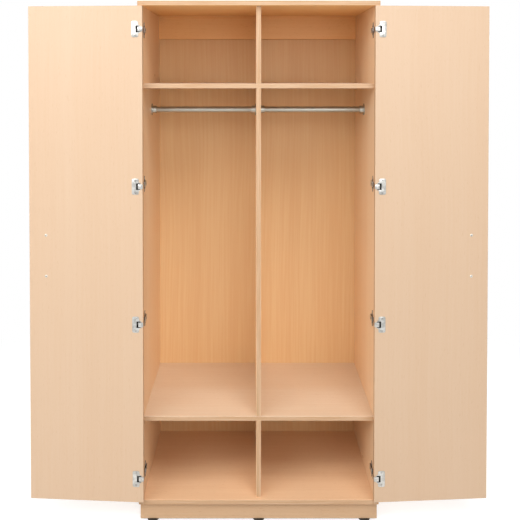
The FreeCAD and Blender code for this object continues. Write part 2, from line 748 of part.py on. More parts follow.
plate_wings = board(
    "plate_wings",
    ("plate_thickness", "plate_wing_width", "plate_wing_height"),
    ("-axis_inset", "plate_y - plate_wing_width / 2", "-plate_wing_height / 2"),
    ((0, -1, -1), (0, -1, 1), (0, 1, -1), (0, 1, 1)),
    "plate_corner",
)
plate_boss = block(
    "plate_boss",
    ("boss_height", "boss_length", "boss_width"),
    ("-axis_inset", "plate_y - boss_length / 2", "-boss_width / 2"),
)
plate_holes = []
for end, sign in (("lower", -1), ("upper", 1)):
    spot = ("-axis_inset - cut_overrun", "plate_y", f"{sign} * plate_screw_spacing / 2")
    length = "plate_thickness + 2 * cut_overrun"
    plate_holes.append(cylinder(f"plate_hole_{end}", "screw_radius + screw_fit", length, spot, "x"))
arm_screw_hole = ("arm_screw_radius + screw_fit", "boss_height + arm_sheet + 2 * cut_overrun")
arm_hole_low = ("-axis_inset - cut_overrun", "plate_y", "0")
plate_holes.append(cylinder("plate_arm_hole", *arm_screw_hole, arm_hole_low, "x"))
plate_body = fuse("plate_body", [plate_wings, plate_boss])
plate_pattern = cut("plate_pattern", plate_body, plate_holes)

arm_leaf = block(
    "arm_leaf",
    ("leaf_thickness", "arm_start + arm_sheet - leaf_start", FULL),
    ("-axis_inset", "leaf_start", LOW),
)
arm_riser = block(
    "arm_riser",
    ("arm_top + axis_inset", "arm_sheet", FULL),
    ("-axis_inset", "arm_start", LOW),
)
arm_cover = board(
    "arm_cover",
    ("arm_sheet", "arm_length", FULL),
    ("arm_inside", "arm_start", LOW),
    ((1, 1, 0),),
    "arm_sheet / 2",
)
cheek_low_x = "plate_thickness - axis_inset + arm_fit"
cheek_size = (f"arm_top - ({cheek_low_x})", "arm_length", "arm_sheet")
arm_parts = [arm_leaf, arm_riser, arm_cover]
for end, cheek_z in (("lower", LOW), ("upper", "link_width / 2 - arm_sheet")):
    arm_parts.append(block(f"arm_cheek_{end}", cheek_size, (cheek_low_x, "arm_start", cheek_z)))
knuckle_size = "link_width / 2 - knuckle_end"
for end, knuckle_z in (("lower", LOW), ("upper", "knuckle_end")):
    arm_parts.append(cylinder(f"arm_knuckle_{end}", "barrel_radius", knuckle_size, ("0", "0", knuckle_z)))
    neck = ("leaf_thickness", "leaf_start + leaf_thickness / 2", knuckle_size)
    tab = ("axis_inset", "leaf_thickness", knuckle_size)
    tab_low = ("-axis_inset", "-leaf_thickness / 2", knuckle_z)
    arm_parts.append(block(f"arm_neck_{end}", neck, tab_low))
    arm_parts.append(block(f"arm_tab_{end}", tab, tab_low))
arm_body = fuse("arm_body", arm_parts)
pin_low = ("0", "0", "-link_width / 2 - cut_overrun")
arm_bore = cylinder("arm_bore", "pin_radius + pin_seat_fit", "link_width + 2 * cut_overrun", pin_low)
arm_pattern = cut(
    "arm_pattern",
    arm_body,
    [arm_bore, cylinder("arm_hole", *arm_screw_hole, arm_hole_low, "x")],
)

pin_pattern = turned(
    "pin_pattern",
    (
        ("0", "-link_width / 2"),
        ("pin_radius", "-link_width / 2"),
        ("pin_radius", "link_width / 2"),
        ("0", "link_width / 2"),
    ),
)
arm_screw = screw(
    "arm_screw",
    "arm_screw_radius",
    "arm_screw_length",
    "arm_screw_head_radius",
    "arm_screw_head_height",
    "screw_point / 2",
)


def mirrored(name, pattern):
    """The same pattern for the other hand."""
    obj = doc.addObject("Part::Mirroring", name)
    obj.Source = pattern
    obj.Normal = FreeCAD.Vector(1, 0, 0)
    return obj


cup_patterns = {-1: cup_pattern, 1: mirrored("cup_pattern_right", cup_pattern)}
arm_patterns = {-1: arm_pattern, 1: mirrored("arm_pattern_right", arm_pattern)}
plate_patterns = {-1: plate_pattern, 1: mirrored("plate_pattern_right", plate_pattern)}

pin_places = []
plate_screws = []
arm_screws = []
plates = []
for side_name, sign in HANDS:
    axis_x = f"{sign} * axis_x"
    face_x = f"{sign} * inner_width / 2"
    for place_name, height in HINGE_PLACES:
        hinge_name = f"{side_name}_{place_name}_hinge"
        hinge_z = f"door_level + {height}"
        swing(instance(f"{hinge_name}_cup", cup_patterns[sign]), sign, height)
        place(instance(f"{hinge_name}_arm", arm_patterns[sign]), (axis_x, "axis_y", hinge_z))
        pin_places.append(((axis_x, "axis_y", hinge_z), (0, 0, 1)))
        plate = compound(f"{hinge_name}_plate", [plate_patterns[sign]])
        plates.append(place(plate, (axis_x, "axis_y", hinge_z)))
        plate_face_y = "axis_y + plate_y"
        for end, step in (("lower", -1), ("upper", 1)):
            spot_z = f"{hinge_z} + {step} * plate_screw_spacing / 2"
            length = "screw_length - plate_thickness + dowel_end_fit"
            screw_hole(
                f"{side_name}_side",
                f"{hinge_name}_plate_hole_{end}",
                "screw_radius + screw_fit",
                length,
                (face_x, plate_face_y, spot_z),
                "x",
            )
            head_x = f"{face_x} - {sign} * plate_thickness"
            plate_screws.append(((head_x, plate_face_y, spot_z), (-sign, 0, 0)))
        head_x = f"{sign} * (axis_x - arm_top)"
        arm_screws.append(((head_x, plate_face_y, hinge_z), (-sign, 0, 0)))
keep("hinge_plates", compound("hinge_plates", plates))
group("hinge_pins", pin_pattern, pin_places)
group("hinge_plate_screws", board_screw, plate_screws)
group("hinge_arm_screws", arm_screw, arm_screws)

# Doors, each modelled closed about its own hinge axis and then swung open

handle_screw = screw(
    "handle_screw",
    "handle_screw_radius",
    "handle_screw_length",
    "handle_screw_head_radius",
    "handle_screw_head_height",
    "screw_point / 2",
)
FACE_EDGES = tuple(
    (x, y, z)
    for x in (-1, 0, 1)
    for y in (-1, 1)
    for z in (-1, 0, 1)
    if (x == 0) != (z == 0)
)


def bow_handle(name, middle_x):
    """A bent bar with two posts, which stands on the outer face of the closed door."""
    parts = []
    half = "handle_spacing / 2"
    bar_y = "axis_proud - handle_rise"
    for end, step in (("lower", -1), ("upper", 1)):
        post_z = f"handle_height + {step} * {half}"
        post_low = (middle_x, "axis_proud - handle_post", post_z)
        parts.append(cylinder(f"{name}_post_{end}", "handle_radius", "handle_post", post_low, "y"))
        bend = doc.addObject("Part::Torus", f"{name}_bend_{end}")
        bind(bend, Radius1="handle_bend", Radius2="handle_radius")
        bend.Angle3 = 90
        turn = FreeCAD.Rotation(FreeCAD.Vector(0, -1, 0), UP * step, FreeCAD.Vector(), "XYZ")
        bend_z = f"handle_height + {step} * ({half} - handle_bend)"
        parts.append(place(bend, (middle_x, f"{bar_y} + handle_bend", bend_z), turn))
    bar_low = (middle_x, bar_y, f"handle_height - {half} + handle_bend")
    parts.append(cylinder(f"{name}_bar", "handle_radius", "handle_straight", bar_low))
    threads = []
    for end, step in (("lower", -1), ("upper", 1)):
        spot = (middle_x, "axis_proud - handle_screw_grip", f"handle_height + {step} * {half}")
        radius = "handle_screw_radius + screw_fit"
        length = "handle_screw_grip + cut_overrun"
        threads.append(cylinder(f"{name}_thread_{end}", radius, length, spot, "y"))
    return cut(name, fuse(name + "_bar_and_posts", parts), threads)


for side_name, sign in HANDS:
    door_low_x = "-axis_over_door" if sign < 0 else "axis_over_door - door_width"
    blank = board(
        f"{side_name}_door_blank",
        ("door_width", "door_thickness", "door_height"),
        (door_low_x, "axis_proud", "0"),
        FACE_EDGES,
    )
    tools = []
    cup_screws = []
    for place_name, height in HINGE_PLACES:
        bore_low = (f"{-sign} * cup_x", "door_inside - cup_depth - cup_fit", height)
        name = f"{side_name}_{place_name}_cup_bore"
        bore_length = "cup_depth + cup_fit + cut_overrun"
        tools.append(cylinder(name, "cup_radius + cup_fit", bore_length, bore_low, "y"))
        for end, step in (("lower", -1), ("upper", 1)):
            spot_z = f"{height} + {step} * flange_screw_z"
            spot_x = f"{-sign} * flange_x"
            length = "screw_length - flange_thickness + dowel_end_fit"
            hole_low = (spot_x, f"door_inside - ({length})", spot_z)
            name = f"{side_name}_{place_name}_ear_bore_{end}"
            tool_length = f"{length} + cut_overrun"
            tools.append(cylinder(name, "screw_radius + screw_fit", tool_length, hole_low, "y"))
            cup_screws.append(((spot_x, "door_inside + flange_thickness", spot_z), (0, 1, 0)))
    handle_screws = []
    middle_x = f"{-sign} * handle_x"
    for end, step in (("lower", -1), ("upper", 1)):
        spot_z = f"handle_height + {step} * handle_spacing / 2"
        name = f"{side_name}_handle_hole_{end}"
        radius = "handle_screw_radius + handle_hole_fit"
        length = "door_thickness + 2 * cut_overrun"
        tools.append(cylinder(name, radius, length, (middle_x, "axis_proud - cut_overrun", spot_z), "y"))
        handle_screws.append(((middle_x, "door_inside", spot_z), (0, 1, 0)))
    swing(keep(f"{side_name}_door", cut(f"{side_name}_door", blank, tools)), sign)
    swing(keep(f"{side_name}_handle", bow_handle(f"{side_name}_handle", middle_x)), sign)
    swing(group(f"{side_name}_cup_screws", board_screw, cup_screws), sign)
    swing(group(f"{side_name}_handle_screws", handle_screw, handle_screws), sign)

# Carcass boards, with the grooves for the back and the holes collected above

FRONT_LONG = ((0, -1, -1), (0, -1, 1))
FRONT_TALL = ((-1, -1, 0), (1, -1, 0))
SIDE_ENDS = ((-1, 0, -1), (-1, 0, 1), (1, 0, -1), (1, 0, 1))


def carcass_board(label, size, low, rounded, grooves=()):
    """A board of the carcass with its holes and grooves."""
    blank = board(label + "_blank", size, low, rounded)
    keep(label, cut(label, blank, holes.get(label, []) + list(grooves)))


groove_reach = "groove_depth + groove_end_fit"
for side_name, sign in HANDS:
    side_x = "-carcass_width / 2" if sign < 0 else "inner_width / 2"
    groove_x = f"-inner_width / 2 - ({groove_reach})" if sign < 0 else "inner_width / 2 - cut_overrun"
    groove = block(
        f"{side_name}_side_groove",
        (f"{groove_reach} + cut_overrun", "groove_width", "side_height + 2 * cut_overrun"),
        (groove_x, "groove_y", "underside - cut_overrun"),
    )
    size = ("board_thickness", "carcass_depth", "side_height")
    carcass_board(f"{side_name}_side", size, (side_x, "front_y", "underside"), FRONT_TALL, [groove])

groove_tall = f"{groove_reach} + cut_overrun"
top_groove = block(
    "top_panel_groove",
    (f"inner_width + 2 * ({groove_reach})", "groove_width", groove_tall),
    (f"-inner_width / 2 - ({groove_reach})", "groove_y", "top_level - cut_overrun"),
)
carcass_board(
    "top_panel",
    ("carcass_width", "carcass_depth", "board_thickness"),
    ("-carcass_width / 2", "front_y", "top_level"),
    FRONT_LONG + SIDE_ENDS,
    [top_groove],
)
bottom_groove = block(
    "bottom_panel_groove",
    ("inner_width + 2 * cut_overrun", "groove_width", groove_tall),
    ("-inner_width / 2 - cut_overrun", "groove_y", f"floor_level - ({groove_reach})"),
)
carcass_board(
    "bottom_panel",
    ("inner_width", "carcass_depth", "board_thickness"),
    ("-inner_width / 2", "front_y", "underside"),
    FRONT_LONG,
    [bottom_groove],
)
for shelf, level in (("lower_shelf", "lower_shelf_level"), ("upper_shelf", "upper_shelf_level")):
    size = ("inner_width", "shelf_depth", "board_thickness")
    carcass_board(shelf, size, ("-inner_width / 2", "shelf_y", level), FRONT_LONG)
for divider, level, height in (
    ("bottom_divider", "floor_level", "bottom_bay_height"),
    ("hanging_divider", "hanging_level", "hanging_height"),
    ("top_divider", "upper_bay_level", "top_bay_height"),
):
    size = ("board_thickness", "shelf_depth", height)
    carcass_board(divider, size, ("-board_thickness / 2", "shelf_y", level), FRONT_TALL)
for side_name, sign in HANDS:
    rail_x = "-board_thickness / 2 - bay_width" if sign < 0 else "board_thickness / 2"
    rail_low = (rail_x, "groove_y - board_thickness", "top_level - rail_height")
    size = ("bay_width", "board_thickness", "rail_height")
    carcass_board(f"{side_name}_wall_rail", size, rail_low, ((0, -1, -1),))

back_size = (
    "inner_width + 2 * groove_depth",
    "back_thickness",
    "top_level - floor_level + 2 * groove_depth",
)
back_low = ("-inner_width / 2 - groove_depth", "groove_y + groove_fit", "floor_level - groove_depth")
keep("back_panel", board("back_panel", back_size, back_low, ()))

for plinth_name, plinth_y in (("plinth_front", "plinth_front_y"), ("plinth_back", "plinth_back_y")):
    size = ("plinth_width", "board_thickness", "plinth_height")
    front = -1 if plinth_name == "plinth_front" else 1
    rounded = ((0, front, -1), (-1, front, 0), (1, front, 0))
    carcass_board(plinth_name, size, ("-plinth_width / 2", plinth_y, "foot_height"), rounded)
for side_name, sign in HANDS:
    low_x = "-plinth_width / 2" if sign < 0 else "plinth_width / 2 - board_thickness"
    size = ("board_thickness", "plinth_side_length", "plinth_height")
    low = (low_x, "plinth_front_y + board_thickness", "foot_height")
    carcass_board(f"plinth_{side_name}", size, low, ((sign, 0, -1),))

# Checks and files

doc.recompute()
for obj in doc.Objects:
    if "Invalid" in obj.State or "Error" in obj.State:
        raise RuntimeError(f"{obj.Label} failed to compute")
for label, obj in nodes.items():
    if obj.Shape.isNull() or not obj.Shape.isValid() or not obj.Shape.Solids:
        raise RuntimeError(f"{label} has no valid shape")

os.makedirs("parts", exist_ok=True)
for label, obj in nodes.items():
    obj.Shape.exportStep(f"parts/{label}.step")
print(len(nodes), "pieces written")
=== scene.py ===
import math

import bmesh
import bpy
from mathutils import Matrix, Vector


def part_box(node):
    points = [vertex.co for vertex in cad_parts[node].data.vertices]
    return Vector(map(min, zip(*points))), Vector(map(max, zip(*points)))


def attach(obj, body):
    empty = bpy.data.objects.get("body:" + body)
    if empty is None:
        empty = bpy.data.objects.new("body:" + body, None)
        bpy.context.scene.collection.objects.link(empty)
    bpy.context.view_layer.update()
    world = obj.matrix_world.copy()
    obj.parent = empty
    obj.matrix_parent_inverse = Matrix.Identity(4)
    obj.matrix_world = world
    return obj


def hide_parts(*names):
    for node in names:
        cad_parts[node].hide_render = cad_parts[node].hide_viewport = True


# The wardrobe's frame
# A two-door wardrobe stands on the floor with both doors swung open until they lie beside it. The
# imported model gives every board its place, and the pieces below are dressed or set round them.

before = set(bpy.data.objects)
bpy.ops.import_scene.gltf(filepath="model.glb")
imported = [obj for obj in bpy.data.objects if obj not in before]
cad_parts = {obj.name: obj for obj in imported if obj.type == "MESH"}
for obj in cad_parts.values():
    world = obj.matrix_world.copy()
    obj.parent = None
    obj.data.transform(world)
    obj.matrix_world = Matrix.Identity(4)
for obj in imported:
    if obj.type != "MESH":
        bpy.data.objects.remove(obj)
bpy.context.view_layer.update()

# The camera
# It stands at eye height, three metres in front of the doors and a little to the left of the middle.
# Like a view camera it looks almost level, and its back is shifted to take in the plinth.

IMAGE_WIDTH = 520
FOCAL_PIXELS = 763.5
SENSOR_WIDTH = 36.0
EYE_PLACE = (-0.0353, -3.2411, 1.7509)
LOOK_DOWN = math.radians(1.2)
SHIFT_RIGHT = 10.3 / IMAGE_WIDTH
SHIFT_DOWN = 169.0 / IMAGE_WIDTH

view_data = bpy.data.cameras.new("view")
view_data.sensor_width = SENSOR_WIDTH
view_data.lens = FOCAL_PIXELS / IMAGE_WIDTH * SENSOR_WIDTH
view_data.shift_x = SHIFT_RIGHT
view_data.shift_y = -SHIFT_DOWN
view = bpy.data.objects.new("view", view_data)
view.location = EYE_PLACE
view.rotation_euler = (math.pi / 2 - LOOK_DOWN, 0, 0)
bpy.context.scene.collection.objects.link(view)
bpy.context.scene.camera = view

# The laminated boards
# The carcass, doors, shelves, rails and plinth are chipboard, 18 mm thick, faced with a printed beech
# laminate. The grain runs along each board, and the front edges carry a glued, slightly darker band.


class Value:
    """One value in a tree of nodes, so that a sum on it reads as a sum."""

    def __init__(self, nodes, socket):
        self.nodes = nodes
        self.socket = socket

    def work(self, operation, first, second):
        return self.nodes.node("ShaderNodeMath", {"operation": operation}, {0: first, 1: second})

    def __add__(self, other):
        return self.work("ADD", self, other)

    def __radd__(self, other):
        return self.work("ADD", other, self)

    def __sub__(self, other):
        return self.work("SUBTRACT", self, other)

    def __rsub__(self, other):
        return self.work("SUBTRACT", other, self)

    def __mul__(self, other):
        return self.work("MULTIPLY", self, other)

    def __rmul__(self, other):
        return self.work("MULTIPLY", other, self)

    def __gt__(self, other):
        return self.work("GREATER_THAN", self, other)

    def __lt__(self, other):
        return self.work("LESS_THAN", self, other)

    def either(self, other):
        return self.work("MAXIMUM", self, other)


class Nodes:
    """A tree of nodes, of a finish or of the room."""

    def __init__(self, tree):
        self.tree = tree

    def put(self, value, socket):
        """Set a socket to a number or colour, or link a value to it."""
        if isinstance(value, Value):
            self.tree.links.new(value.socket, socket)
        else:
            socket.default_value = value

    def node(self, kind, settings=None, inputs=None, output=0):
        """Add a node of a kind, set it, feed its inputs and give back one of its outputs."""
        made = self.tree.nodes.new(kind)
        for name, value in (settings or {}).items():
            setattr(made, name, value)
        for name, value in (inputs or {}).items():
            self.put(value, made.inputs[name])
        return Value(self, made.outputs[output])


class Finish(Nodes):
    """A material of the wardrobe and the nodes that make its look."""

    def __init__(self, name):
        self.material = bpy.data.materials.new(name)
        self.material.use_nodes = True
        super().__init__(self.material.node_tree)
        self.surface = self.tree.nodes["Principled BSDF"]
        self.place = self.node("ShaderNodeTexCoord", output="Object")

    def noise(self, at, scale, detail=2.0, roughness=0.5):
        sizes = {"Vector": at, "Scale": scale, "Detail": detail, "Roughness": roughness}
        return self.node("ShaderNodeTexNoise", None, sizes)

    def spread(self, value, low, high):
        """0 below low, 1 above high and a smooth rise between."""
        ends = {"Value": value, "From Min": low, "From Max": high}
        return self.node("ShaderNodeMapRange", {"interpolation_type": "SMOOTHSTEP"}, ends)

    def colour(self, share, first, second, blend="MIX"):
        """The first colour where the share is 0, and the second, or their product, where it is 1."""
        settings = {"data_type": "RGBA", "blend_type": blend}
        return self.node("ShaderNodeMix", settings, {0: share, 6: first, 7: second}, 2)

    def mottled(self, pattern, dark, light):
        """Two colours that take turns with a noise."""
        return self.colour(self.spread(pattern, 0.35, 0.65), dark, light)

    def vector(self, operation, first, second, output=0):
        return self.node("ShaderNodeVectorMath", {"operation": operation}, {0: first, 1: second}, output)

    def stretched(self, at, scale, offset=(0, 0, 0)):
        return self.vector("MULTIPLY", self.vector("ADD", at, offset), scale)

    def pushed(self, drift, axes):
        """The place, pushed by a drift along some of the axes, so that the grain wanders."""
        push = self.node("ShaderNodeCombineXYZ", None, dict.fromkeys(axes, drift))
        return self.vector("ADD", self.place, push)

    def along(self, direction):
        """How far a point lies along a direction, in metres."""
        return self.vector("DOT_PRODUCT", self.place, direction, "Value")

    def at_faces(self, faces):
        """1 at any of the faces, each a direction and how far the face lies along it, and 0 elsewhere."""
        shares = [self.along(direction) > distance - FACE_SKIN for direction, distance in faces]
        share = shares[0]
        for other in shares[1:]:
            share = share.either(other)
        return share

    def feed(self, **sockets):
        for name, value in sockets.items():
            self.put(value, self.surface.inputs[name.replace("_", " ")])

    def relief(self, height, distance, strength=1.0):
        sizes = {"Height": height, "Distance": distance, "Strength": strength}
        self.feed(Normal=self.node("ShaderNodeBump", None, sizes))


def tint(code):
    """A colour from its six-figure code."""
    parts = [int(code[k:k + 2], 16) / 255 for k in (0, 2, 4)]
    return tuple(c / 12.92 if c <= 0.04045 else ((c + 0.055) / 1.055) ** 2.4 for c in parts) + (1.0,)


MILLIMETRE = 0.001
FACE_SKIN = 0.1 * MILLIMETRE

BEECH_LIGHT = tint("F8D6B2")
BEECH_MIDDLE = tint("F6D1AB")
BEECH_DARK = tint("EFC499")
BEECH_FLECK = tint("D9A679")
BAND_LIGHT = tint("CCA987")
BAND_DARK = tint("C09871")
CHIP_LIGHT = tint("D6B078")
CHIP_DARK = tint("8A6236")
# Painted light and shade: each group of boards gets its own darker or tinted copy of the one laminate
# colour, set for how light falls on it.
DOOR_PAINTED_SHADE = (0.715, 0.74, 0.79, 1.0)
UPRIGHT_PAINTED_SHADE = (0.96, 0.99, 0.99, 1.0)
SHELF_PAINTED_SHADE = (0.81, 0.9, 1.03, 1.0)
BOTTOM_PANEL_PAINTED_SHADE = (0.94, 0.89, 0.85, 1.0)
# Painted shade: the top panel and the wall rails in the dim top bay are deeper and more orange, as shade
# looks there.
HIGH_PAINTED_SHADE = (1.09, 0.98, 0.67, 1.0)
# Painted shade: the plinth is darker for the shade under the overhanging bottom panel.
PLINTH_PAINTED_SHADE = (0.64, 0.61, 0.57, 1.0)

GRAIN_SQUEEZE = 0.018
FLECK_SQUEEZE = 0.09
GRAIN_WANDER = 0.03
NOISE_MEAN = 0.5


def beech(name, grain, start, painted_shade_tone, bands=(), raw=(), depth=1.0):
    """Beech laminate with its grain along one axis, 0, 1 or 2 for X, Y or Z, its own start in the print,
    a painted shade tone and the depth of its grain. The painted shade tone darkens or tints each group of
    boards for how light falls on it. Bands and raw edges are (direction, distance) pairs: there the board is
    banded, or bare chipboard."""
    finish = Finish(name)
    drift = finish.noise(finish.stretched(finish.place, (1.4, 1.4, 1.4), start), scale=1.0, detail=1.0)
    bent = finish.pushed(drift * GRAIN_WANDER, [axis for axis in range(3) if axis != grain])
    squeeze = [GRAIN_SQUEEZE if axis == grain else 1.0 for axis in range(3)]
    grained = finish.stretched(bent, squeeze, start)
    broad = finish.noise(grained, scale=11.0)
    streak = finish.noise(grained, scale=120.0, detail=3.0, roughness=0.6)
    fine = finish.noise(grained, scale=620.0, roughness=0.6)
    squeeze[grain] = FLECK_SQUEEZE
    dashes = finish.noise(finish.stretched(bent, squeeze, start), scale=520.0, detail=1.0)
    fleck = finish.spread(dashes, 0.66, 0.74)
    mixed = broad * 0.45 + streak * 0.4 + fine * 0.15
    light = finish.spread(mixed, NOISE_MEAN - 0.16 / depth, NOISE_MEAN + 0.2 / depth)
    base = finish.colour(light, BEECH_DARK, BEECH_LIGHT)
    base = finish.colour(0.45, base, BEECH_MIDDLE)
    base = finish.colour(fleck * (0.5 * depth), base, BEECH_FLECK)
    # Painted light and shade: the tone darkens or tints the one laminate for how light falls on this group
    # of boards.
    base = finish.colour(1.0, base, painted_shade_tone, "MULTIPLY")
    rough = 0.36 + fine * 0.12
    if bands:
        band = finish.at_faces(bands)
        printed = finish.noise(grained, scale=240.0, detail=3.0, roughness=0.7)
        base = finish.colour(band, base, finish.mottled(printed, BAND_DARK, BAND_LIGHT))
        rough = rough + band * 0.02
    if raw:
        bare = finish.at_faces(raw)
        chips = finish.noise(finish.place, scale=900.0, detail=3.0, roughness=0.7)
        base = finish.colour(bare, base, finish.mottled(chips, CHIP_DARK, CHIP_LIGHT))
        rough = rough + bare * 0.4
    finish.feed(Base_Color=base, Roughness=rough)
    finish.relief(streak * 0.3 + fine * 0.4 - fleck * 0.6, 0.05 * MILLIMETRE, 0.5)
    return finish.material


def dress(node, material):
    """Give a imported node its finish."""
    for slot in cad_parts[node].material_slots:
        slot.material = material


def face_out(node, direction):
    """How far a node reaches in a direction, in metres."""
    return max(Vector(direction).dot(v.co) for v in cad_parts[node].data.vertices)


FRONT = (0.0, -1.0, 0.0)
REAR = (0.0, 1.0, 0.0)
LEFT = (-1.0, 0.0, 0.0)
RIGHT = (1.0, 0.0, 0.0)
UP = (0.0, 0.0, 1.0)
DOWN = (0.0, 0.0, -1.0)
ACROSS, INWARD, UPRIGHT = 0, 1, 2
banded_boards = (
    ("left_side", UPRIGHT, UPRIGHT_PAINTED_SHADE, True),
    ("right_side", UPRIGHT, UPRIGHT_PAINTED_SHADE, True),
    ("top_panel", ACROSS, HIGH_PAINTED_SHADE, True),
    ("bottom_panel", ACROSS, BOTTOM_PANEL_PAINTED_SHADE, True),
    ("upper_shelf", ACROSS, SHELF_PAINTED_SHADE, False),
    ("lower_shelf", ACROSS, SHELF_PAINTED_SHADE, False),
    ("top_divider", UPRIGHT, UPRIGHT_PAINTED_SHADE, False),
    ("hanging_divider", UPRIGHT, UPRIGHT_PAINTED_SHADE, False),
    ("bottom_divider", UPRIGHT, UPRIGHT_PAINTED_SHADE, False),
)
for count, (board, grain, painted_shade_tone, rear_bare) in enumerate(banded_boards):
    banded_edges = (FRONT, LEFT, RIGHT) if board == "top_panel" else (FRONT,)
    bands = [(edge, face_out(board, edge)) for edge in banded_edges]
    bare = [(REAR, face_out(board, REAR))] if rear_bare else []
    start = (0.37 * count, 1.3 * count, 0.71 * count)
    dress(board, beech(board + "_beech", grain, start, painted_shade_tone, bands, bare))

for count, board in enumerate(("left_wall_rail", "right_wall_rail")):
    start = (3.1 + 0.43 * count, 0.6 * count, 1.9)
    dress(board, beech(board + "_beech", ACROSS, start, HIGH_PAINTED_SHADE))

for count, board in enumerate(("plinth_front", "plinth_back", "plinth_left", "plinth_right"), 2):
    grain = INWARD if board in ("plinth_left", "plinth_right") else ACROSS
    bare = [(DOWN, face_out(board, DOWN))]
    start = (3.1 + 0.43 * count, 0.6 * count, 1.9)
    dress(board, beech(board + "_beech", grain, start, PLINTH_PAINTED_SHADE, (), bare))

# The doors
# Each door is one laminated board with a band on all four edges. At rest it has swung four degrees
# past flat, so its edges are found along and across the turned board.

PAST_FLAT = math.radians(4.0)
for count, (door, hand) in enumerate((("left_door", -1), ("right_door", 1))):
    along_door = (hand * math.cos(PAST_FLAT), math.sin(PAST_FLAT), 0.0)
    back_along = tuple(-part for part in along_door)
    bands = [(edge, face_out(door, edge)) for edge in (along_door, back_along, UP, DOWN)]
    start = (7.3 + 2.7 * count, 0.9, 0.4 + count)
    dress(door, beech(door + "_beech", UPRIGHT, start, DOOR_PAINTED_SHADE, bands, depth=0.5))

# The back panel
# A sheet of hardboard, 3 mm thick, slides in grooves of the carcass. Its front has the beech print,
# a little deeper in its colour, and its rear is bare brown fibre.

BACK_LIGHT = tint("EFCA97")
BACK_DARK = tint("EABF8B")
FIBRE_LIGHT = tint("AE7E50")
FIBRE_DARK = tint("825833")
BACK_SQUEEZE = 0.02
BACK_WANDER = 0.06
BACK_SHEET = 3.0

finish = Finish("back_panel_hardboard")
drift = finish.noise(finish.stretched(finish.place, (2.2, 2.2, 0.9)), scale=1.0)
grained = finish.stretched(finish.pushed(drift * BACK_WANDER, [ACROSS]), (1.0, 1.0, BACK_SQUEEZE))
broad = finish.noise(grained, scale=14.0)
streak = finish.noise(grained, scale=110.0, detail=3.0, roughness=0.6)
fine = finish.noise(grained, scale=600.0)
printed = finish.colour(finish.spread(broad * 0.4 + streak * 0.6, 0.36, 0.66), BACK_DARK, BACK_LIGHT)
mottle = finish.noise(finish.place, scale=260.0, detail=5.0, roughness=0.7)
weave = finish.noise(finish.place, scale=1400.0)
fibre = finish.mottled(mottle * 0.7 + weave * 0.3, FIBRE_DARK, FIBRE_LIGHT)
panel_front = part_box("back_panel")[0].y
behind = finish.along(REAR) > panel_front + BACK_SHEET / 2 * MILLIMETRE
finish.feed(Base_Color=finish.colour(behind, printed, fibre), Roughness=0.42 + behind * 0.4 + fine * 0.08)
finish.relief(behind * (mottle + weave) + (1 - behind) * (streak + fine) * 0.3, 0.08 * MILLIMETRE, 0.5)
dress("back_panel", finish.material)

# The dowels and cover caps
# Fluted beech dowels hold the boards together. A moulded cap with a stem closes a spare hole on the
# inner face of each side.

finish = Finish("turned_beech")
rings = finish.noise(finish.place, scale=900.0, detail=3.0, roughness=0.6)
finish.feed(Base_Color=finish.mottled(rings, tint("D9AF7C"), tint("EFCFA2")), Roughness=0.55 + rings * 0.2)
finish.relief(rings, 0.1 * MILLIMETRE, 0.6)
dress("carcass_dowels", finish.material)

TOUCHING = 0.001


def turned(profile, steps=40, closed=False):
    """A shape turned about Z from (radius, height) points, in millimetres."""
    shape = bmesh.new()
    points = [shape.verts.new((radius, 0.0, height)) for radius, height in profile]
    edges = [shape.edges.new(pair) for pair in zip(points, points[1:])]
    if closed:
        edges.append(shape.edges.new((points[-1], points[0])))
    spun = {"cent": (0, 0, 0), "axis": (0, 0, 1), "angle": 2 * math.pi, "steps": steps}
    bmesh.ops.spin(shape, geom=points + edges, use_merge=True, **spun)
    poles = [v for v in shape.verts if v.co.xy.length < TOUCHING]
    bmesh.ops.remove_doubles(shape, verts=poles, dist=TOUCHING)
    return shape


def join(shape, part, place=None):
    """Move a part to its place and add it to a shape."""
    if place is not None:
        part.transform(place)
    spare = bpy.data.meshes.new("spare")
    part.to_mesh(spare)
    part.free()
    shape.from_mesh(spare)
    bpy.data.meshes.remove(spare)


CREASE = math.radians(32.0)


def finished_piece(name, shape, material, body, nodes):
    """Make a piece of a shape drawn in metres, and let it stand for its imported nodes."""
    bmesh.ops.recalc_face_normals(shape, faces=shape.faces)
    mesh = bpy.data.meshes.new(name)
    shape.to_mesh(mesh)
    shape.free()
    mesh.materials.append(material)
    mesh.shade_smooth()
    mesh.set_sharp_from_angle(angle=CREASE)
    piece = bpy.data.objects.new(name, mesh)
    bpy.context.scene.collection.objects.link(piece)
    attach(piece, body)
    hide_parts(*nodes)


TO_METRES = Matrix.Scale(MILLIMETRE, 4)


def stand(at, axis, turn=0.0):
    """The placing of a part drawn in millimetres about Z, with Z along an axis at a point in metres."""
    lie = Vector((0, 0, 1)).rotation_difference(Vector(axis)).to_matrix().to_4x4()
    return Matrix.Translation(at) @ lie @ Matrix.Rotation(turn, 4, "Z") @ TO_METRES


finish = Finish("cap_plastic")
cloud = finish.noise(finish.place, scale=400.0)
finish.feed(Base_Color=finish.colour(cloud, tint("C9A274"), tint("DDB88A")), Roughness=0.42 + cloud * 0.1)
finish.relief(finish.noise(finish.place, scale=2500.0), 0.02 * MILLIMETRE, 0.5)
cap_plastic = finish.material

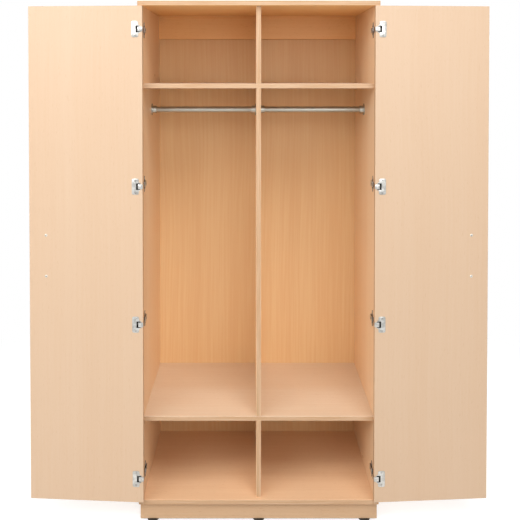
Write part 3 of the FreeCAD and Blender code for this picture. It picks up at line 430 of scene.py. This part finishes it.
CAP_STEM = 8.0
CAP_RADIUS = 6.0
cap_profile = (
    (0.0, -CAP_STEM),
    (1.6, -CAP_STEM),
    (2.5, -CAP_STEM + 1.4),
    (2.5, -0.4),
    (2.9, 0.0),
    (CAP_RADIUS - 0.4, 0.0),
    (CAP_RADIUS, 0.35),
    (CAP_RADIUS - 0.3, 0.95),
    (CAP_RADIUS - 1.1, 1.35),
    (3.0, 1.55),
    (0.0, 1.6),
)
caps = bmesh.new()
caps_low, caps_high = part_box("side_cover_caps")
stem, radius = CAP_STEM * MILLIMETRE, CAP_RADIUS * MILLIMETRE
upper_cap = (caps_low.x + stem, caps_high.y - radius, caps_high.z - radius)
lower_cap = (caps_high.x - stem, caps_low.y + radius, caps_low.z + radius)
join(caps, turned(cap_profile), stand(upper_cap, RIGHT))
join(caps, turned(cap_profile), stand(lower_cap, LEFT))
finished_piece("side_cover_caps_fine", caps, cap_plastic, "carcass", ["side_cover_caps"])

# The glides
# Six dark moulded discs stand under the plinth. Each has a bevelled foot and a counterbore for the
# screw that holds it.

finish = Finish("glide_plastic")
grains = finish.noise(finish.place, scale=1800.0, detail=3.0)
# The lowest 2.5 mm of each glide is paler.
paler_near_sole = finish.spread(finish.along(DOWN), -2.5 * MILLIMETRE, 0.0)
black = finish.colour(grains, tint("1B1A19"), tint("2C2A28"))
finish.feed(Base_Color=finish.colour(paler_near_sole * 0.25, black, tint("6A625A")), Roughness=0.45 + grains * 0.2)
finish.relief(grains, 0.04 * MILLIMETRE, 0.6)
glide_plastic = finish.material

GLIDE_RADIUS = 22.0
GLIDE_HEIGHT = 6.0
GLIDE_SEAT = 3.0
GLIDE_SINK = 5.5
GLIDE_HOLE = 2.1
glide_profile = (
    (GLIDE_SINK, 0.0),
    (GLIDE_RADIUS - 2.2, 0.0),
    (GLIDE_RADIUS - 0.7, 0.5),
    (GLIDE_RADIUS, 1.8),
    (GLIDE_RADIUS, GLIDE_HEIGHT - 1.0),
    (GLIDE_RADIUS - 0.4, GLIDE_HEIGHT - 0.3),
    (GLIDE_RADIUS - 1.1, GLIDE_HEIGHT),
    (GLIDE_HOLE, GLIDE_HEIGHT),
    (GLIDE_HOLE, GLIDE_SEAT),
    (GLIDE_SINK - 0.3, GLIDE_SEAT),
    (GLIDE_SINK, GLIDE_SEAT - 0.3),
)
for row in ("front", "back"):
    for column in ("left", "middle", "right"):
        glide = f"{row}_{column}_glide"
        low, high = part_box(glide)
        sole = ((low.x + high.x) / 2, (low.y + high.y) / 2, low.z)
        foot = bmesh.new()
        join(foot, turned(glide_profile, steps=56, closed=True), stand(sole, UP))
        finished_piece(glide + "_fine", foot, glide_plastic, "carcass", [glide])

# The rods and their sockets
# Two chromed steel tubes hang between pressed cups with a round flange. Three small cross-head screws
# hold each flange on the boards.

finish = Finish("rod_chrome")
brushed = finish.noise(finish.stretched(finish.place, (0.06, 1.0, 1.0)), scale=1500.0)
smudge = finish.noise(finish.place, scale=24.0, detail=3.0, roughness=0.6)
steel = finish.colour(smudge, tint("A09D93"), tint("B9B6AB"))
dulled = 0.3 + finish.spread(smudge, 0.4, 0.7) * 0.1 + brushed * 0.04
finish.feed(Base_Color=steel, Metallic=1.0, Roughness=dulled)
finish.relief(brushed, 0.004 * MILLIMETRE, 0.4)
rod_chrome = finish.material

ROD_RADIUS = 12.5
ROD_BORE = 11.3
ROD_RIM = 0.4
for side in ("left", "right"):
    rod_node = f"{side}_hanging_rod"
    low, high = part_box(rod_node)
    length = (high.x - low.x) / MILLIMETRE
    rod_profile = (
        (ROD_BORE, 0.0),
        (ROD_RADIUS - ROD_RIM, 0.0),
        (ROD_RADIUS, ROD_RIM),
        (ROD_RADIUS, length / 3),
        (ROD_RADIUS, 2 * length / 3),
        (ROD_RADIUS, length - ROD_RIM),
        (ROD_RADIUS - ROD_RIM, length),
        (ROD_BORE, length),
    )
    rod = bmesh.new()
    rod_end = (low.x, (low.y + high.y) / 2, (low.z + high.z) / 2)
    join(rod, turned(rod_profile, steps=64, closed=True), stand(rod_end, RIGHT))
    finished_piece(rod_node + "_fine", rod, rod_chrome, "carcass", [rod_node])


def screw(shank, length, head, height, recess):
    """A cross-head screw with its head standing on Z = 0, in millimetres."""
    pitch = shank * 0.55
    ridges = int((length - shank) / pitch)
    profile = [(0.0, -length), (shank * 0.3, -length + shank * 0.5)]
    for turn in range(ridges):
        foot = -length + shank + turn * pitch
        profile += [(shank * 0.82, foot), (shank, foot + pitch * 0.4), (shank * 0.82, foot + pitch * 0.8)]
    profile += [(shank * 0.9, 0.0), (head * 0.96, 0.0), (head, height * 0.12), (head, height * 0.4)]
    profile += [(head * 0.93, height * 0.72), (head * 0.8, height * 0.94), (head * 0.68, height)]
    shape = turned(profile, steps=24)
    rim = [edge for edge in shape.edges if edge.is_boundary]
    cross = bmesh.ops.create_grid(shape, x_segments=3, y_segments=3, size=head * 0.56)["verts"]
    for vert in cross:
        vert.co.z = height
        for axis in (0, 1):
            if abs(vert.co[axis]) < head * 0.4:
                vert.co[axis] = math.copysign(recess / 2, vert.co[axis])
    cells = {face for vert in cross for face in vert.link_faces}
    corners = [
        face
        for face in cells
        if min(abs(part) for part in face.calc_center_median().xy) > recess / 2
    ]
    bmesh.ops.delete(shape, geom=corners, context="FACES")
    kept = [face for face in cells if face.is_valid]
    opening = bmesh.ops.dissolve_faces(shape, faces=kept)["region"][0]
    bmesh.ops.bridge_loops(shape, edges=rim + list(opening.edges))
    raised = bmesh.ops.extrude_face_region(shape, geom=[opening])["geom"]
    floor = [item for item in raised if isinstance(item, bmesh.types.BMVert)]
    bmesh.ops.scale(shape, verts=floor, vec=(0.7, 0.7, 1.0))
    bmesh.ops.translate(shape, verts=floor, vec=(0.0, 0.0, -height * 0.55))
    return shape


WOOD_SCREW = {"shank": 1.75, "length": 14.0, "head": 3.4, "height": 1.6, "recess": 0.9}
SOCKET_FLANGE = 25.0
SOCKET_SHEET = 3.0
SOCKET_CUP = 16.1
SOCKET_BORE = 12.6
SOCKET_REACH = 19.0
SCREW_CIRCLE = 20.55
socket_profile = (
    (0.0, 0.0),
    (SOCKET_FLANGE - 0.3, 0.0),
    (SOCKET_FLANGE, 0.4),
    (SOCKET_FLANGE, 1.4),
    (SOCKET_FLANGE - 0.5, 2.4),
    (SOCKET_FLANGE - 1.6, SOCKET_SHEET),
    (SOCKET_CUP + 1.2, SOCKET_SHEET),
    (SOCKET_CUP + 0.3, SOCKET_SHEET + 0.5),
    (SOCKET_CUP, SOCKET_SHEET + 1.4),
    (SOCKET_CUP, SOCKET_REACH - 1.0),
    (SOCKET_CUP - 0.4, SOCKET_REACH - 0.3),
    (SOCKET_CUP - 1.2, SOCKET_REACH),
    (SOCKET_BORE + 0.8, SOCKET_REACH),
    (SOCKET_BORE, SOCKET_REACH - 0.9),
    (SOCKET_BORE, SOCKET_SHEET),
    (0.0, SOCKET_SHEET),
)
sockets = (
    ("left_rod_outer_socket", 1),
    ("left_rod_inner_socket", -1),
    ("right_rod_inner_socket", 1),
    ("right_rod_outer_socket", -1),
)
socket_screws = bmesh.new()
for socket_node, facing in sockets:
    low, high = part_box(socket_node)
    middle = Vector((low.x if facing > 0 else high.x, (low.y + high.y) / 2, (low.z + high.z) / 2))
    axis = (facing, 0, 0)
    cup = bmesh.new()
    join(cup, turned(socket_profile, steps=64), stand(middle, axis))
    finished_piece(socket_node + "_fine", cup, rod_chrome, "carcass", [socket_node])
    for third in range(3):
        angle = math.radians(120 * third)
        across, up = SCREW_CIRCLE * math.sin(angle), facing * SCREW_CIRCLE * math.cos(angle)
        head = middle + Vector((SOCKET_SHEET * facing, across, up)) * MILLIMETRE
        join(socket_screws, screw(**WOOD_SCREW), stand(head, axis, third + 0.4))
screws_node = "rod_socket_screws"
finished_piece(screws_node + "_fine", socket_screws, rod_chrome, "carcass", [screws_node])

# The handles
# A bow of nickelled bar, ten millimetres thick, stands on the outer face of each door. Two zinc-plated
# machine screws come through the door from inside, and their heads show on the inner face.

finish = Finish("nickel")
cloud = finish.noise(finish.place, scale=60.0, detail=3.0, roughness=0.6)
scratch = finish.noise(finish.stretched(finish.place, (1.0, 1.0, 0.05)), scale=2600.0)
plated = finish.mottled(cloud, tint("B0AFAA"), tint("CFCECA"))
# Painted shade: where ambient occlusion within 14 mm finds a hollow, as inside the hinge cup and round the
# strap, the plating turns near black.
painted_hollow_shade = finish.node("ShaderNodeAmbientOcclusion", {"samples": 8}, {"Distance": 14.0 * MILLIMETRE}, "AO")
plated = finish.colour(finish.spread(painted_hollow_shade, 0.5, 0.95), tint("1C1813"), plated)
finish.feed(Base_Color=plated, Metallic=1.0, Roughness=0.2 + cloud * 0.12 + scratch * 0.08)
finish.relief(scratch * 0.5 + cloud * 0.5, 0.01 * MILLIMETRE, 0.5)
nickel = finish.material

finish = Finish("screw_zinc")
dull = finish.noise(finish.place, scale=900.0)
# Painted shade: the zinc turns dark brown in the cross recess and other hollows within 2 mm, found by
# ambient occlusion.
painted_recess_shade = finish.node("ShaderNodeAmbientOcclusion", {"samples": 8}, {"Distance": 2.0 * MILLIMETRE}, "AO")
zinc = finish.colour(dull, tint("D8D4CB"), tint("E6E2D9"))
zinc = finish.colour(finish.spread(painted_recess_shade, 0.3, 0.8), tint("4A3F33"), zinc)
finish.feed(Base_Color=zinc, Metallic=0.7, Roughness=0.38 + dull * 0.1)
finish.relief(dull, 0.02 * MILLIMETRE, 0.5)
screw_zinc = finish.material

PIN_RADIUS = 1.5
pins_low, pins_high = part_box("hinge_pins")
axis_x = pins_high.x - PIN_RADIUS * MILLIMETRE
axis_y = (pins_low.y + pins_high.y) / 2
door_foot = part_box("left_door")[0].z


def hinge_frame(hand, height, on_door):
    """The placing of a part drawn in millimetres round a hinge axis, as for a closed left door: X along
    the door, Y to the back and Z up. On the door it turns with the open door."""
    side = Matrix.Scale(-1, 4, (1, 0, 0)) if hand > 0 else Matrix()
    turn = Matrix.Rotation(-math.pi - PAST_FLAT, 4, "Z") if on_door else Matrix()
    return side @ Matrix.Translation((-axis_x, axis_y, height)) @ turn @ TO_METRES


DOOR_FRONT = 3.3
DOOR_REAR = DOOR_FRONT + 18.0
HANDLE_X = 379.0
HANDLE_HEIGHT = 957.0
HANDLE_HALF = 80.0
HANDLE_BAR = 5.0
HANDLE_RIM = 0.4
HANDLE_RISE = 27.0
HANDLE_BEND = 14.0
HANDLE_LEG = HANDLE_RISE - HANDLE_BEND - HANDLE_RIM
HANDLE_SCREW = {"shank": 2.0, "length": 26.0, "head": 5.5, "height": 2.2, "recess": 1.3}
BAR_SIDES = 32


def bow():
    """The bow of a handle: it rises along Z from two feet on the X axis, in millimetres."""
    shape = bmesh.new()
    foot = {"cap_ends": True, "segments": BAR_SIDES, "radius": HANDLE_BAR - HANDLE_RIM}
    ring = bmesh.ops.create_circle(shape, **foot)["verts"]
    bmesh.ops.translate(shape, verts=ring, vec=(-HANDLE_HALF, 0, 0))
    tip = list({face for vert in ring for face in vert.link_faces})

    def push(steps, grow=1.0):
        nonlocal tip
        for step in steps:
            drawn = bmesh.ops.extrude_face_region(shape, geom=tip)["geom"]
            tip = [item for item in drawn if isinstance(item, bmesh.types.BMFace)]
            ends = [item for item in drawn if isinstance(item, bmesh.types.BMVert)]
            bmesh.ops.transform(shape, matrix=step, verts=ends)
            if grow != 1.0:
                centre = tip[0].calc_center_median()
                bmesh.ops.scale(shape, verts=ends, vec=(grow,) * 3, space=Matrix.Translation(-centre))

    def bend(centre, steps=10):
        turn = Matrix.Rotation(math.pi / 2 / steps, 4, "Y")
        about = Matrix.Translation(centre)
        push([about @ turn @ about.inverted()] * steps)

    push([Matrix.Translation((0, 0, HANDLE_RIM))], HANDLE_BAR / (HANDLE_BAR - HANDLE_RIM))
    push([Matrix.Translation((0, 0, HANDLE_LEG / 2))] * 2)
    bend((-HANDLE_HALF + HANDLE_BEND, 0, HANDLE_RISE - HANDLE_BEND))
    push([Matrix.Translation(((HANDLE_HALF - HANDLE_BEND) / 3, 0, 0))] * 6)
    bend((HANDLE_HALF - HANDLE_BEND, 0, HANDLE_RISE - HANDLE_BEND))
    push([Matrix.Translation((0, 0, -HANDLE_LEG / 2))] * 2)
    push([Matrix.Translation((0, 0, -HANDLE_RIM))], (HANDLE_BAR - HANDLE_RIM) / HANDLE_BAR)
    return shape


for hand, side in ((-1, "left"), (1, "right")):
    middle = door_foot + HANDLE_HEIGHT * MILLIMETRE
    on_door = hinge_frame(hand, middle, on_door=True)
    outward = Matrix.Translation((HANDLE_X, DOOR_FRONT, 0)) @ Matrix.Rotation(math.pi / 2, 4, "X")
    upright = Matrix.Rotation(math.pi / 2, 4, "Z")
    handle = bmesh.new()
    join(handle, bow(), on_door @ outward @ upright)
    finished_piece(f"{side}_handle_fine", handle, nickel, f"{side}_door", [f"{side}_handle"])
    screws = bmesh.new()
    for end in (-1, 1):
        head = Matrix.Translation((HANDLE_X, DOOR_REAR, end * HANDLE_HALF))
        inward = head @ Matrix.Rotation(-math.pi / 2, 4, "X")
        join(screws, screw(**HANDLE_SCREW), on_door @ inward @ Matrix.Rotation(0.5 + end, 4, "Z"))
    node = f"{side}_handle_screws"
    finished_piece(node + "_fine", screws, screw_zinc, f"{side}_door", [node])

# The hinges
# Four nickelled cup hinges carry each door. A pressed cup with two ears is screwed in the door, and
# its strap turns on a pin in the arm, which is screwed to a winged plate on the side.

CUP_X = 21.0
CUP_RADIUS = 17.5
CUP_DEPTH = 11.0
EAR_X = 27.0
EAR_HEIGHT = 62.0
EAR_WIDTH = 27.0
EAR_CORNER = 6.0
EAR_SHEET = 1.2
EAR_SCREW = 24.0
MOUTH_HALF = 12.5
MOUTH_END = 23.5
STRAP_HALF = 8.8
STRAP_BACK = -2.7
STRAP_TIP = 16.5
STRAP_OUT = DOOR_REAR + 2.5
STRAP_FLOOR = DOOR_REAR - CUP_DEPTH + 1.2
STRAP_SHEET = 1.3
ROLLED_SHEET = 1.2
KNUCKLE_RADIUS = 3.0
KNUCKLE_BORE = 1.6
KNUCKLE_RIM = 0.3
CUP_KNUCKLE = 4.0
HINGE_TO_FACE = Matrix.Rotation(-math.pi / 2, 4, "X")


def soften(shape, geom, offset, segments=2, affect="EDGES"):
    """Round some edges, or some corners of a flat shape, in millimetres."""
    rounding = {"affect": affect, "segments": segments, "profile": 0.5, "material": -1}
    bmesh.ops.bevel(shape, geom=geom, offset=offset, offset_type="OFFSET", **rounding)


def flat_plate(width, height, corner):
    """A flat sheet in XY with round corners, in millimetres."""
    shape = bmesh.new()
    bmesh.ops.create_grid(shape, x_segments=1, y_segments=1, size=0.5)
    bmesh.ops.scale(shape, verts=shape.verts, vec=(width, height, 1.0))
    soften(shape, list(shape.verts), corner, segments=6, affect="VERTICES")
    return shape


def thicken(shape, thickness, rim, soft=()):
    """Give flat faces a thickness along Z and break the edges round them. Soft gives the corners of
    their outline that are rounded first, each with its radius."""
    raised = bmesh.ops.extrude_face_region(shape, geom=list(shape.faces), use_keep_orig=True)["geom"]
    top = [item for item in raised if isinstance(item, bmesh.types.BMVert)]
    bmesh.ops.translate(shape, verts=top, vec=(0, 0, thickness))
    bmesh.ops.recalc_face_normals(shape, faces=shape.faces)
    for corner, radius in soft:
        spot = Vector(corner)
        upright = [edge for edge in shape.edges if all((v.co.xy - spot).length < 0.01 for v in edge.verts)]
        soften(shape, upright, radius, segments=5)
    around = [edge for edge in shape.edges if sum(abs(face.normal.z) > 0.9 for face in edge.link_faces) == 1]
    soften(shape, around, rim)
    return shape


def cut_away(shape, planes, gone):
    """Cut flat faces along planes, given by a point and a direction, and drop those that are gone."""
    for point, direction in planes:
        everything = list(shape.verts) + list(shape.edges) + list(shape.faces)
        bmesh.ops.bisect_plane(shape, geom=everything, plane_co=point, plane_no=direction)
    spare = [face for face in shape.faces if gone(face.calc_center_median())]
    bmesh.ops.delete(shape, geom=spare, context="FACES")


def strip(section, half_width, soft, rim=0.25):
    """A strap bent from sheet: its section in XY, drawn along Z to both sides, in millimetres. Soft gives
    the corners of the section with their rounding."""
    shape = bmesh.new()
    shape.faces.new([shape.verts.new((x, y, -half_width)) for x, y in section])
    return thicken(shape, 2 * half_width, rim, soft)


def block(low, high, rim=0.2):
    """A block between two corners with broken edges, in millimetres."""
    shape = bmesh.new()
    bmesh.ops.create_cube(shape, size=1.0)
    low, high = Vector(low), Vector(high)
    bmesh.ops.scale(shape, verts=shape.verts, vec=high - low)
    bmesh.ops.translate(shape, verts=shape.verts, vec=(low + high) / 2)
    soften(shape, list(shape.edges), rim)
    return shape


def knuckle(low, high):
    """A rolled knuckle of the hinge barrel between two heights."""
    profile = (
        (KNUCKLE_BORE, low),
        (KNUCKLE_RADIUS - KNUCKLE_RIM, low),
        (KNUCKLE_RADIUS, low + KNUCKLE_RIM),
        (KNUCKLE_RADIUS, high - KNUCKLE_RIM),
        (KNUCKLE_RADIUS - KNUCKLE_RIM, high),
        (KNUCKLE_BORE, high),
    )
    return turned(profile, steps=32, closed=True)


def hinge_cup():
    """The cup with its ears and its strap, as for a closed left door."""
    face = Matrix.Translation((CUP_X, DOOR_REAR, 0)) @ HINGE_TO_FACE
    bowl = (
        (0.0, -CUP_DEPTH),
        (CUP_RADIUS - 1.5, -CUP_DEPTH),
        (CUP_RADIUS - 0.4, -CUP_DEPTH + 0.5),
        (CUP_RADIUS, -CUP_DEPTH + 1.6),
        (CUP_RADIUS, 0.0),
        (CUP_RADIUS + 1.4, 0.0),
        (CUP_RADIUS + 1.5, 0.7),
        (CUP_RADIUS + 1.1, 1.25),
        (CUP_RADIUS + 0.4, 1.5),
        (CUP_RADIUS - 0.4, 1.4),
        (CUP_RADIUS - 0.9, 1.0),
        (CUP_RADIUS - 1.0, 0.4),
        (CUP_RADIUS - 1.0, -CUP_DEPTH + 2.6),
        (CUP_RADIUS - 1.5, -CUP_DEPTH + 1.5),
        (CUP_RADIUS - 2.6, -CUP_DEPTH + 1.0),
        (0.0, -CUP_DEPTH + 1.0),
    )
    cup = bmesh.new()
    join(cup, turned(bowl, steps=56), face)

    def in_mouth(spot):
        return spot.x < MOUTH_END - CUP_X and abs(spot.y) < MOUTH_HALF

    mouth_planes = (
        ((0, MOUTH_HALF, 0), (0, 1, 0)),
        ((0, -MOUTH_HALF, 0), (0, 1, 0)),
        ((MOUTH_END - CUP_X, 0, 0), (1, 0, 0)),
    )
    lid = bmesh.new()
    bmesh.ops.create_circle(lid, cap_ends=True, segments=56, radius=CUP_RADIUS - 0.7)
    cut_away(lid, mouth_planes, in_mouth)
    join(cup, thicken(lid, 1.0, rim=0.2), face)

    ears = flat_plate(EAR_WIDTH, EAR_HEIGHT, EAR_CORNER)
    bmesh.ops.translate(ears, verts=ears.verts, vec=(EAR_X - CUP_X, 0, 0))
    cut_away(ears, mouth_planes, in_mouth)
    join(cup, thicken(ears, EAR_SHEET, rim=0.3), face)

    section = (
        (STRAP_BACK, KNUCKLE_RADIUS),
        (STRAP_BACK, STRAP_OUT),
        (STRAP_TIP, STRAP_OUT),
        (STRAP_TIP, STRAP_FLOOR),
        (STRAP_TIP - 1.4, STRAP_FLOOR),
        (STRAP_TIP - 1.4, STRAP_OUT - STRAP_SHEET),
        (STRAP_BACK + ROLLED_SHEET, STRAP_OUT - STRAP_SHEET),
        (STRAP_BACK + ROLLED_SHEET, KNUCKLE_RADIUS),
    )
    bends = (((STRAP_BACK, STRAP_OUT), 1.1), ((STRAP_TIP, STRAP_OUT), 1.3))
    join(cup, strip(section, STRAP_HALF, bends))
    dot = ((0.0, -0.4), (2.2, -0.4), (2.2, 0.15), (1.9, 0.35), (1.0, 0.5), (0.0, 0.55))
    join(cup, turned(dot, steps=24), Matrix.Translation((8.0, STRAP_OUT, 0)) @ HINGE_TO_FACE)
    root = CUP_KNUCKLE - 0.2
    join(cup, block((STRAP_BACK, ROLLED_SHEET / 2, -root), (STRAP_BACK + ROLLED_SHEET, 4.0, root)))
    join(cup, knuckle(-CUP_KNUCKLE, CUP_KNUCKLE))
    return cup


SIDE_FACE = -4.5
ARM_HALF = 10.5
ARM_START = 37.3
ARM_END = 83.3
ARM_TOP = 1.1
ARM_SHEET = 1.5
CHEEK_SHEET = 1.6
DECK_EDGE = 2.6
DECK_SLOPE = 0.5
DECK_DIP = 0.35
ARM_SCREW = {"shank": 2.0, "length": 4.5, "head": 3.5, "height": 1.8, "recess": 1.0}


def hinge_arm():
    """The arm with its outer knuckles, as for a closed left door."""
    section = (
        (SIDE_FACE, KNUCKLE_RADIUS),
        (SIDE_FACE + ROLLED_SHEET, KNUCKLE_RADIUS),
        (SIDE_FACE + ROLLED_SHEET, ARM_START),
        (ARM_TOP, ARM_START),
        (ARM_TOP, ARM_END),
        (ARM_TOP - ARM_SHEET, ARM_END),
        (ARM_TOP - ARM_SHEET, ARM_START + ARM_SHEET),
        (SIDE_FACE, ARM_START + ARM_SHEET),
    )
    neck = (
        (SIDE_FACE, 4.0),
        (SIDE_FACE, -ROLLED_SHEET / 2),
        (-2.0, -ROLLED_SHEET / 2),
        (-2.0, ROLLED_SHEET / 2),
        (SIDE_FACE + ROLLED_SHEET, ROLLED_SHEET / 2),
        (SIDE_FACE + ROLLED_SHEET, 4.0),
    )
    arm = strip(section, ARM_HALF, (((ARM_TOP, ARM_START), 1.2),), rim=0.6)
    deck = max((face for face in arm.faces if face.normal.x > 0.9), key=lambda face: face.calc_area())
    bmesh.ops.inset_region(arm, faces=[deck], thickness=DECK_EDGE, depth=0.0)
    bmesh.ops.inset_region(arm, faces=[deck], thickness=DECK_SLOPE, depth=-DECK_DIP)
    for side in (-1, 1):
        edge_low, edge_high = sorted((side * (ARM_HALF - CHEEK_SHEET), side * (ARM_HALF - 0.05)))
        cheek_low = (SIDE_FACE + 2.1, ARM_START + 0.3, edge_low)
        join(arm, block(cheek_low, (ARM_TOP - 0.5, ARM_END - 0.05, edge_high)))
        low, high = sorted((side * (CUP_KNUCKLE + 0.3), side * ARM_HALF))
        curl = strip(neck, (high - low) / 2 - 0.1, (((SIDE_FACE, -ROLLED_SHEET / 2), 0.9),))
        join(arm, curl, Matrix.Translation((0, 0, (low + high) / 2)))
        join(arm, knuckle(low, high))
    return arm


PLATE_Y = 60.3
WING_HEIGHT = 62.0
WING_WIDTH = 14.0
WING_CORNER = 5.0
WING_SHEET = 2.0
WING_SCREW = 16.0
CORE_LENGTH = 40.0
CORE_WIDTH = 13.0
CORE_TOP = -0.5


def mounting_plate():
    """The winged plate under an arm, as for a closed left door."""
    to_side = Matrix.Translation((SIDE_FACE, PLATE_Y, 0)) @ Matrix.Rotation(math.pi / 2, 4, "Y")
    plate = bmesh.new()
    wings = flat_plate(WING_HEIGHT, WING_WIDTH, WING_CORNER)
    join(plate, thicken(wings, WING_SHEET, rim=0.5), to_side)
    core_low = (SIDE_FACE + 0.05, PLATE_Y - CORE_LENGTH / 2, -CORE_WIDTH / 2)
    core_high = (CORE_TOP, PLATE_Y + CORE_LENGTH / 2, CORE_WIDTH / 2)
    join(plate, block(core_low, core_high, rim=0.5))
    return plate


pin_profile = (
    (0.0, -ARM_HALF),
    (PIN_RADIUS - 0.3, -ARM_HALF),
    (PIN_RADIUS, -ARM_HALF + 0.3),
    (PIN_RADIUS, ARM_HALF - 0.3),
    (PIN_RADIUS - 0.3, ARM_HALF),
    (0.0, ARM_HALF),
)
plates = bmesh.new()
pins = bmesh.new()
plate_screws = bmesh.new()
arm_screws = bmesh.new()
from_side = Matrix.Rotation(math.pi / 2, 4, "Y")
for hand, side in ((-1, "left"), (1, "right")):
    cup_screws = bmesh.new()
    for level in ("lowest", "lower", "upper", "top"):
        cup_node = f"{side}_{level}_hinge_cup"
        arm_node = f"{side}_{level}_hinge_arm"
        low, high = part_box(arm_node)
        height = (low.z + high.z) / 2
        with_door = hinge_frame(hand, height, on_door=True)
        with_side = hinge_frame(hand, height, on_door=False)
        cup = bmesh.new()
        join(cup, hinge_cup(), with_door)
        finished_piece(cup_node + "_fine", cup, nickel, f"{side}_door", [cup_node])
        arm = bmesh.new()
        join(arm, hinge_arm(), with_side)
        finished_piece(arm_node + "_fine", arm, nickel, "carcass", [arm_node])
        join(plates, mounting_plate(), with_side)
        join(pins, turned(pin_profile, steps=24), with_side)
        deck = Matrix.Translation((ARM_TOP, PLATE_Y, 0)) @ from_side @ Matrix.Rotation(height, 4, "Z")
        join(arm_screws, screw(**ARM_SCREW), with_side @ deck)
        for end in (-1, 1):
            ear = Matrix.Translation((EAR_X, DOOR_REAR + EAR_SHEET, end * EAR_SCREW)) @ HINGE_TO_FACE
            turn = Matrix.Rotation(7.0 * height + end, 4, "Z")
            join(cup_screws, screw(**WOOD_SCREW), with_door @ ear @ turn)
            wing = Matrix.Translation((SIDE_FACE + WING_SHEET, PLATE_Y, end * WING_SCREW)) @ from_side
            join(plate_screws, screw(**WOOD_SCREW), with_side @ wing @ turn)
    node = f"{side}_cup_screws"
    finished_piece(node + "_fine", cup_screws, nickel, f"{side}_door", [node])
for node, shape in (
    ("hinge_plates", plates),
    ("hinge_pins", pins),
    ("hinge_plate_screws", plate_screws),
    ("hinge_arm_screws", arm_screws),
):
    finished_piece(node + "_fine", shape, nickel, "carcass", [node])

# The screws of the glides
# One long nickelled screw goes up through each glide into the plinth. Its head is sunk in the
# counterbore of the glide, clear of the floor.

GLIDE_SCREW = {"shank": 2.0, "length": 30.0, "head": 4.2, "height": 2.4, "recess": 1.0}
glide_screws = bmesh.new()
for row in ("front", "back"):
    for column in ("left", "middle", "right"):
        low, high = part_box(f"{row}_{column}_glide")
        seat = ((low.x + high.x) / 2, (low.y + high.y) / 2, low.z + GLIDE_SEAT * MILLIMETRE)
        join(glide_screws, screw(**GLIDE_SCREW), stand(seat, DOWN))
finished_piece("glide_screws_fine", glide_screws, nickel, "carcass", ["glide_screws"])

# The room
# A pale floor and a white distance. The main light is a large soft lamp above and before the doors,
# with weaker ones on the left and right. Two more stand behind, and a low even light fills the rest.

WHITE = (1, 1, 1, 1)
FLOOR_RADIUS = 30.0
FLOOR_DROP = 0.5 * MILLIMETRE
FLOOR_GLOW = 0.6
FLOOR_NEAR = 1.1
FLOOR_FAR = 2.4
WORLD_LIGHT = 0.27

floor = bmesh.new()
bmesh.ops.create_circle(floor, cap_ends=True, segments=96, radius=FLOOR_RADIUS)
floor_mesh = bpy.data.meshes.new("floor")
floor.to_mesh(floor_mesh)
floor.free()
floor_object = bpy.data.objects.new("floor", floor_mesh)
bpy.context.scene.collection.objects.link(floor_object)
floor_object.location.z = -FLOOR_DROP


def in_sight(nodes):
    """1 for the rays of the camera, of mirrors and of glass, and 0 for those that light the object."""
    seen = nodes.node("ShaderNodeLightPath", output="Is Camera Ray")
    mirrored = nodes.node("ShaderNodeLightPath", output="Is Glossy Ray")
    through = nodes.node("ShaderNodeLightPath", output="Is Transmission Ray")
    return seen.either(mirrored).either(through)


finish = Finish("pale_floor")
grit = finish.noise(finish.place, scale=90.0, detail=3.0)
painted = finish.colour(grit, tint("C2C1C0"), tint("C8C7C6"))
finish.feed(Base_Color=painted, Roughness=0.8, Specular_IOR_Level=0.2)
lit = Value(finish, finish.surface.outputs[0])
glow = finish.node("ShaderNodeEmission", None, {"Color": WHITE, "Strength": FLOOR_GLOW})
near = finish.node("ShaderNodeAddShader", None, {0: lit, 1: glow})
far = finish.node("ShaderNodeEmission", None, {"Color": WHITE, "Strength": 1.0})
reach = finish.node("ShaderNodeVectorMath", {"operation": "LENGTH"}, {0: finish.place}, "Value")
distant = finish.spread(reach, FLOOR_NEAR, FLOOR_FAR)
shown = finish.node("ShaderNodeMixShader", None, {0: distant, 1: near, 2: far})
mixed = finish.node("ShaderNodeMixShader", None, {0: in_sight(finish), 1: lit, 2: shown})
finish.put(mixed, finish.tree.nodes["Material Output"].inputs["Surface"])
floor_mesh.materials.append(finish.material)

world = bpy.data.worlds.new("white_room")
world.use_nodes = True
bpy.context.scene.world = world
room = Nodes(world.node_tree)
even = room.tree.nodes["Background"]
room.put(WHITE, even.inputs["Color"])
room.put(WORLD_LIGHT, even.inputs["Strength"])
white = room.node("ShaderNodeBackground", None, {"Color": WHITE, "Strength": 1.0})
light = Value(room, even.outputs[0])
sky = room.node("ShaderNodeMixShader", None, {0: in_sight(room), 1: light, 2: white})
room.put(sky, room.tree.nodes["World Output"].inputs["Surface"])

lamps = (
    ("overhead_lamp", (1.0, -3.5, 5.6), (0.0, -0.1, 0.8), (3.4, 3.0), 184.0),
    ("left_lamp", (-2.5, -3.7, 3.1), (0.0, -0.1, 0.8), (3.0, 2.4), 97.0),
    ("far_left_lamp", (-4.2, -2.3, 3.0), (-0.4, -0.2, 1.0), (2.4, 2.6), 41.0),
    ("right_lamp", (1.6, -4.9, 2.6), (0.0, 0.0, 1.1), (2.4, 2.4), 59.0),
    ("rear_right_lamp", (3.6, 3.0, 2.8), (0.3, 0.2, 1.0), (2.6, 2.4), 110.0),
    ("rear_left_lamp", (-3.6, 3.0, 2.8), (-0.3, 0.2, 1.0), (2.6, 2.4), 90.0),
)
for name, at, aim, size, power in lamps:
    lamp_data = bpy.data.lights.new(name, "AREA")
    lamp_data.shape = "RECTANGLE"
    lamp_data.size, lamp_data.size_y = size
    lamp_data.energy = power
    lamp = bpy.data.objects.new(name, lamp_data)
    lamp.location = at
    lamp.rotation_euler = (Vector(aim) - Vector(at)).to_track_quat("-Z", "Y").to_euler()
    bpy.context.scene.collection.objects.link(lamp)

bpy.context.scene.view_settings.view_transform = "Standard"
